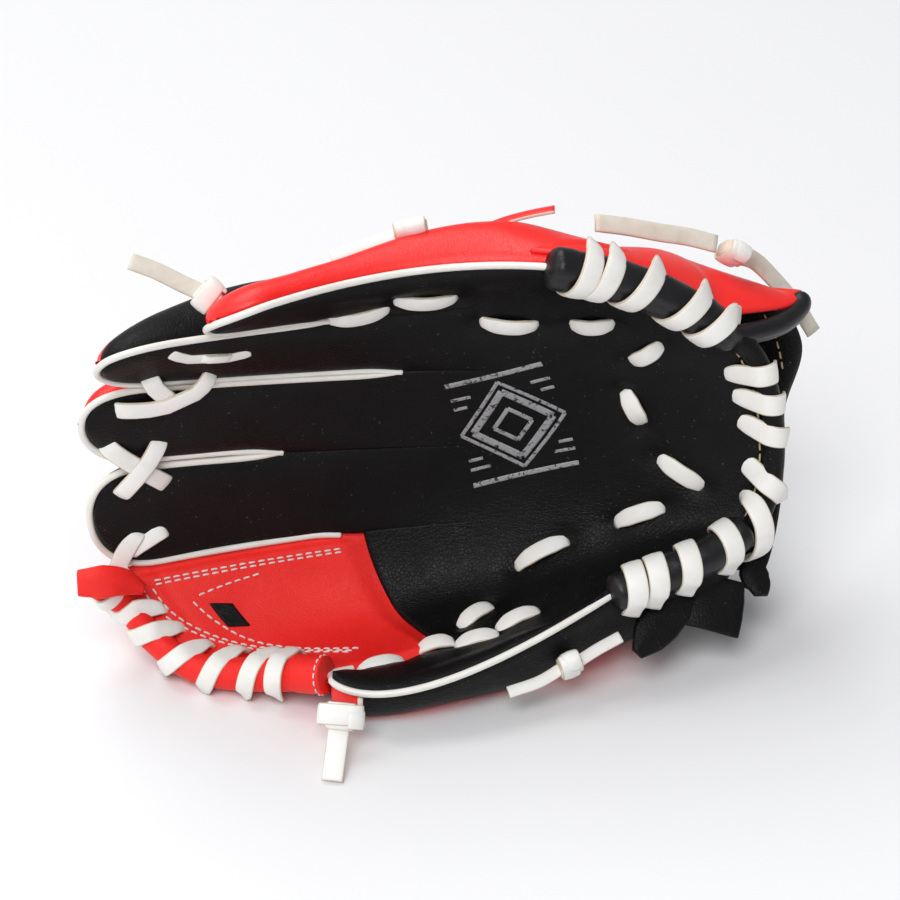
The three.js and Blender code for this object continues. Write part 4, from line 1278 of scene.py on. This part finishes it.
def heel_tabs():
    """Three black leather flaps that hang from the heel behind the thumb's roll."""
    for name, points, widths in (
        ("pointed", [(97, 7, 26), (93, 2, 22.5), (88.5, -4, 19), (84, -9.5, 15.8)],
         [10, 13.5, 13, 10, 4]),
        ("square", [(109, 13, 26), (108, 8.5, 22.5), (107, 4.5, 19.5), (106, 0.5, 16.5)],
         [16, 17.5, 18, 17.5]),
        ("small", [(120, 21, 26), (120.5, 17, 23.5), (121.5, 14.5, 22), (122, 12, 20.5)],
         [7, 9, 8, 4.5]),
    ):
        shape = flap(points, [(0.2, -0.6, 0.78)] * 4, widths)
        piece(f"heel_flap_{name}", shape, BLACK, THUMB_SIDE, [f"heel_tab_{name}"])


def inner_layers():
    """Pads and lining keep their CAD shapes and get their own materials."""
    padding = ["palm_pad", "pinky_heel_pad", "thumb_heel_pad"]
    padding += [f"{digit}_stiffener" for digit in DIGITS]
    for name in ["palm_lining"] + padding:
        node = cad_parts[name]
        node.data.materials.clear()
        node.data.materials.append(FELT if name in padding else LINING)


# ---- studio -------------------------------------------------------------------------------------
AMBIENT, BACKDROP = 0.26, 0.95             # strength of the world's light, and as the camera sees it
FLOOR_HALF = 3.0
# Place and size in metres, and power in watts.
LIGHTS = {
    "back": ((-0.8, 1.1, 2.3), 1.8, 38), "front": ((-0.4, -1.4, 2.0), 1.4, 37),
    "left": ((-2.2, -0.2, 1.4), 1.4, 9),
}


def studio():
    scene = bpy.context.scene
    scene.view_settings.view_transform = "Standard"
    world = bpy.data.worlds.new("studio")
    world.use_nodes = True
    tree = world.node_tree
    tree.nodes["Background"].inputs["Color"].default_value = (0.95, 0.97, 1.0, 1)
    ray = tree.nodes.new("ShaderNodeLightPath")
    level = tree.nodes.new("ShaderNodeMapRange")
    level.inputs["To Min"].default_value = AMBIENT
    level.inputs["To Max"].default_value = BACKDROP
    tree.links.new(ray.outputs["Is Camera Ray"], level.inputs["Value"])
    tree.links.new(level.outputs["Result"], tree.nodes["Background"].inputs["Strength"])
    scene.world = world
    for name, (place_at, size, power) in LIGHTS.items():
        data = bpy.data.lights.new(name, "AREA")
        data.size = size
        data.energy = power
        lamp = bpy.data.objects.new(name, data)
        lamp.location = place_at
        lamp.rotation_euler = (Vector((0, 0, 0.05)) - lamp.location).to_track_quat("-Z", "Y").to_euler()
        scene.collection.objects.link(lamp)
    mesh = bpy.data.meshes.new("floor")
    corners = [(x * FLOOR_HALF, y * FLOOR_HALF, 0) for x, y in ((-1, -1), (1, -1), (1, 1), (-1, 1))]
    mesh.from_pydata(corners, [], [(0, 1, 2, 3)])
    floor = bpy.data.objects.new("floor", mesh)
    mesh.materials.append(Paint("floor_paint", Base_Color=(0.86, 0.86, 0.87, 1), Roughness=0.6).done())
    scene.collection.objects.link(floor)


camera()
wrist_tail()
palm_front()
digit_backs()
pipings()
heel()
web()
threaded_laces()
finger_laces()
palm_print()
pinky_side()
knuckles()
wrist_band()
strap_and_closure()
thumb_gusset()
knots_and_tails()
heel_tabs()
inner_layers()
studio()
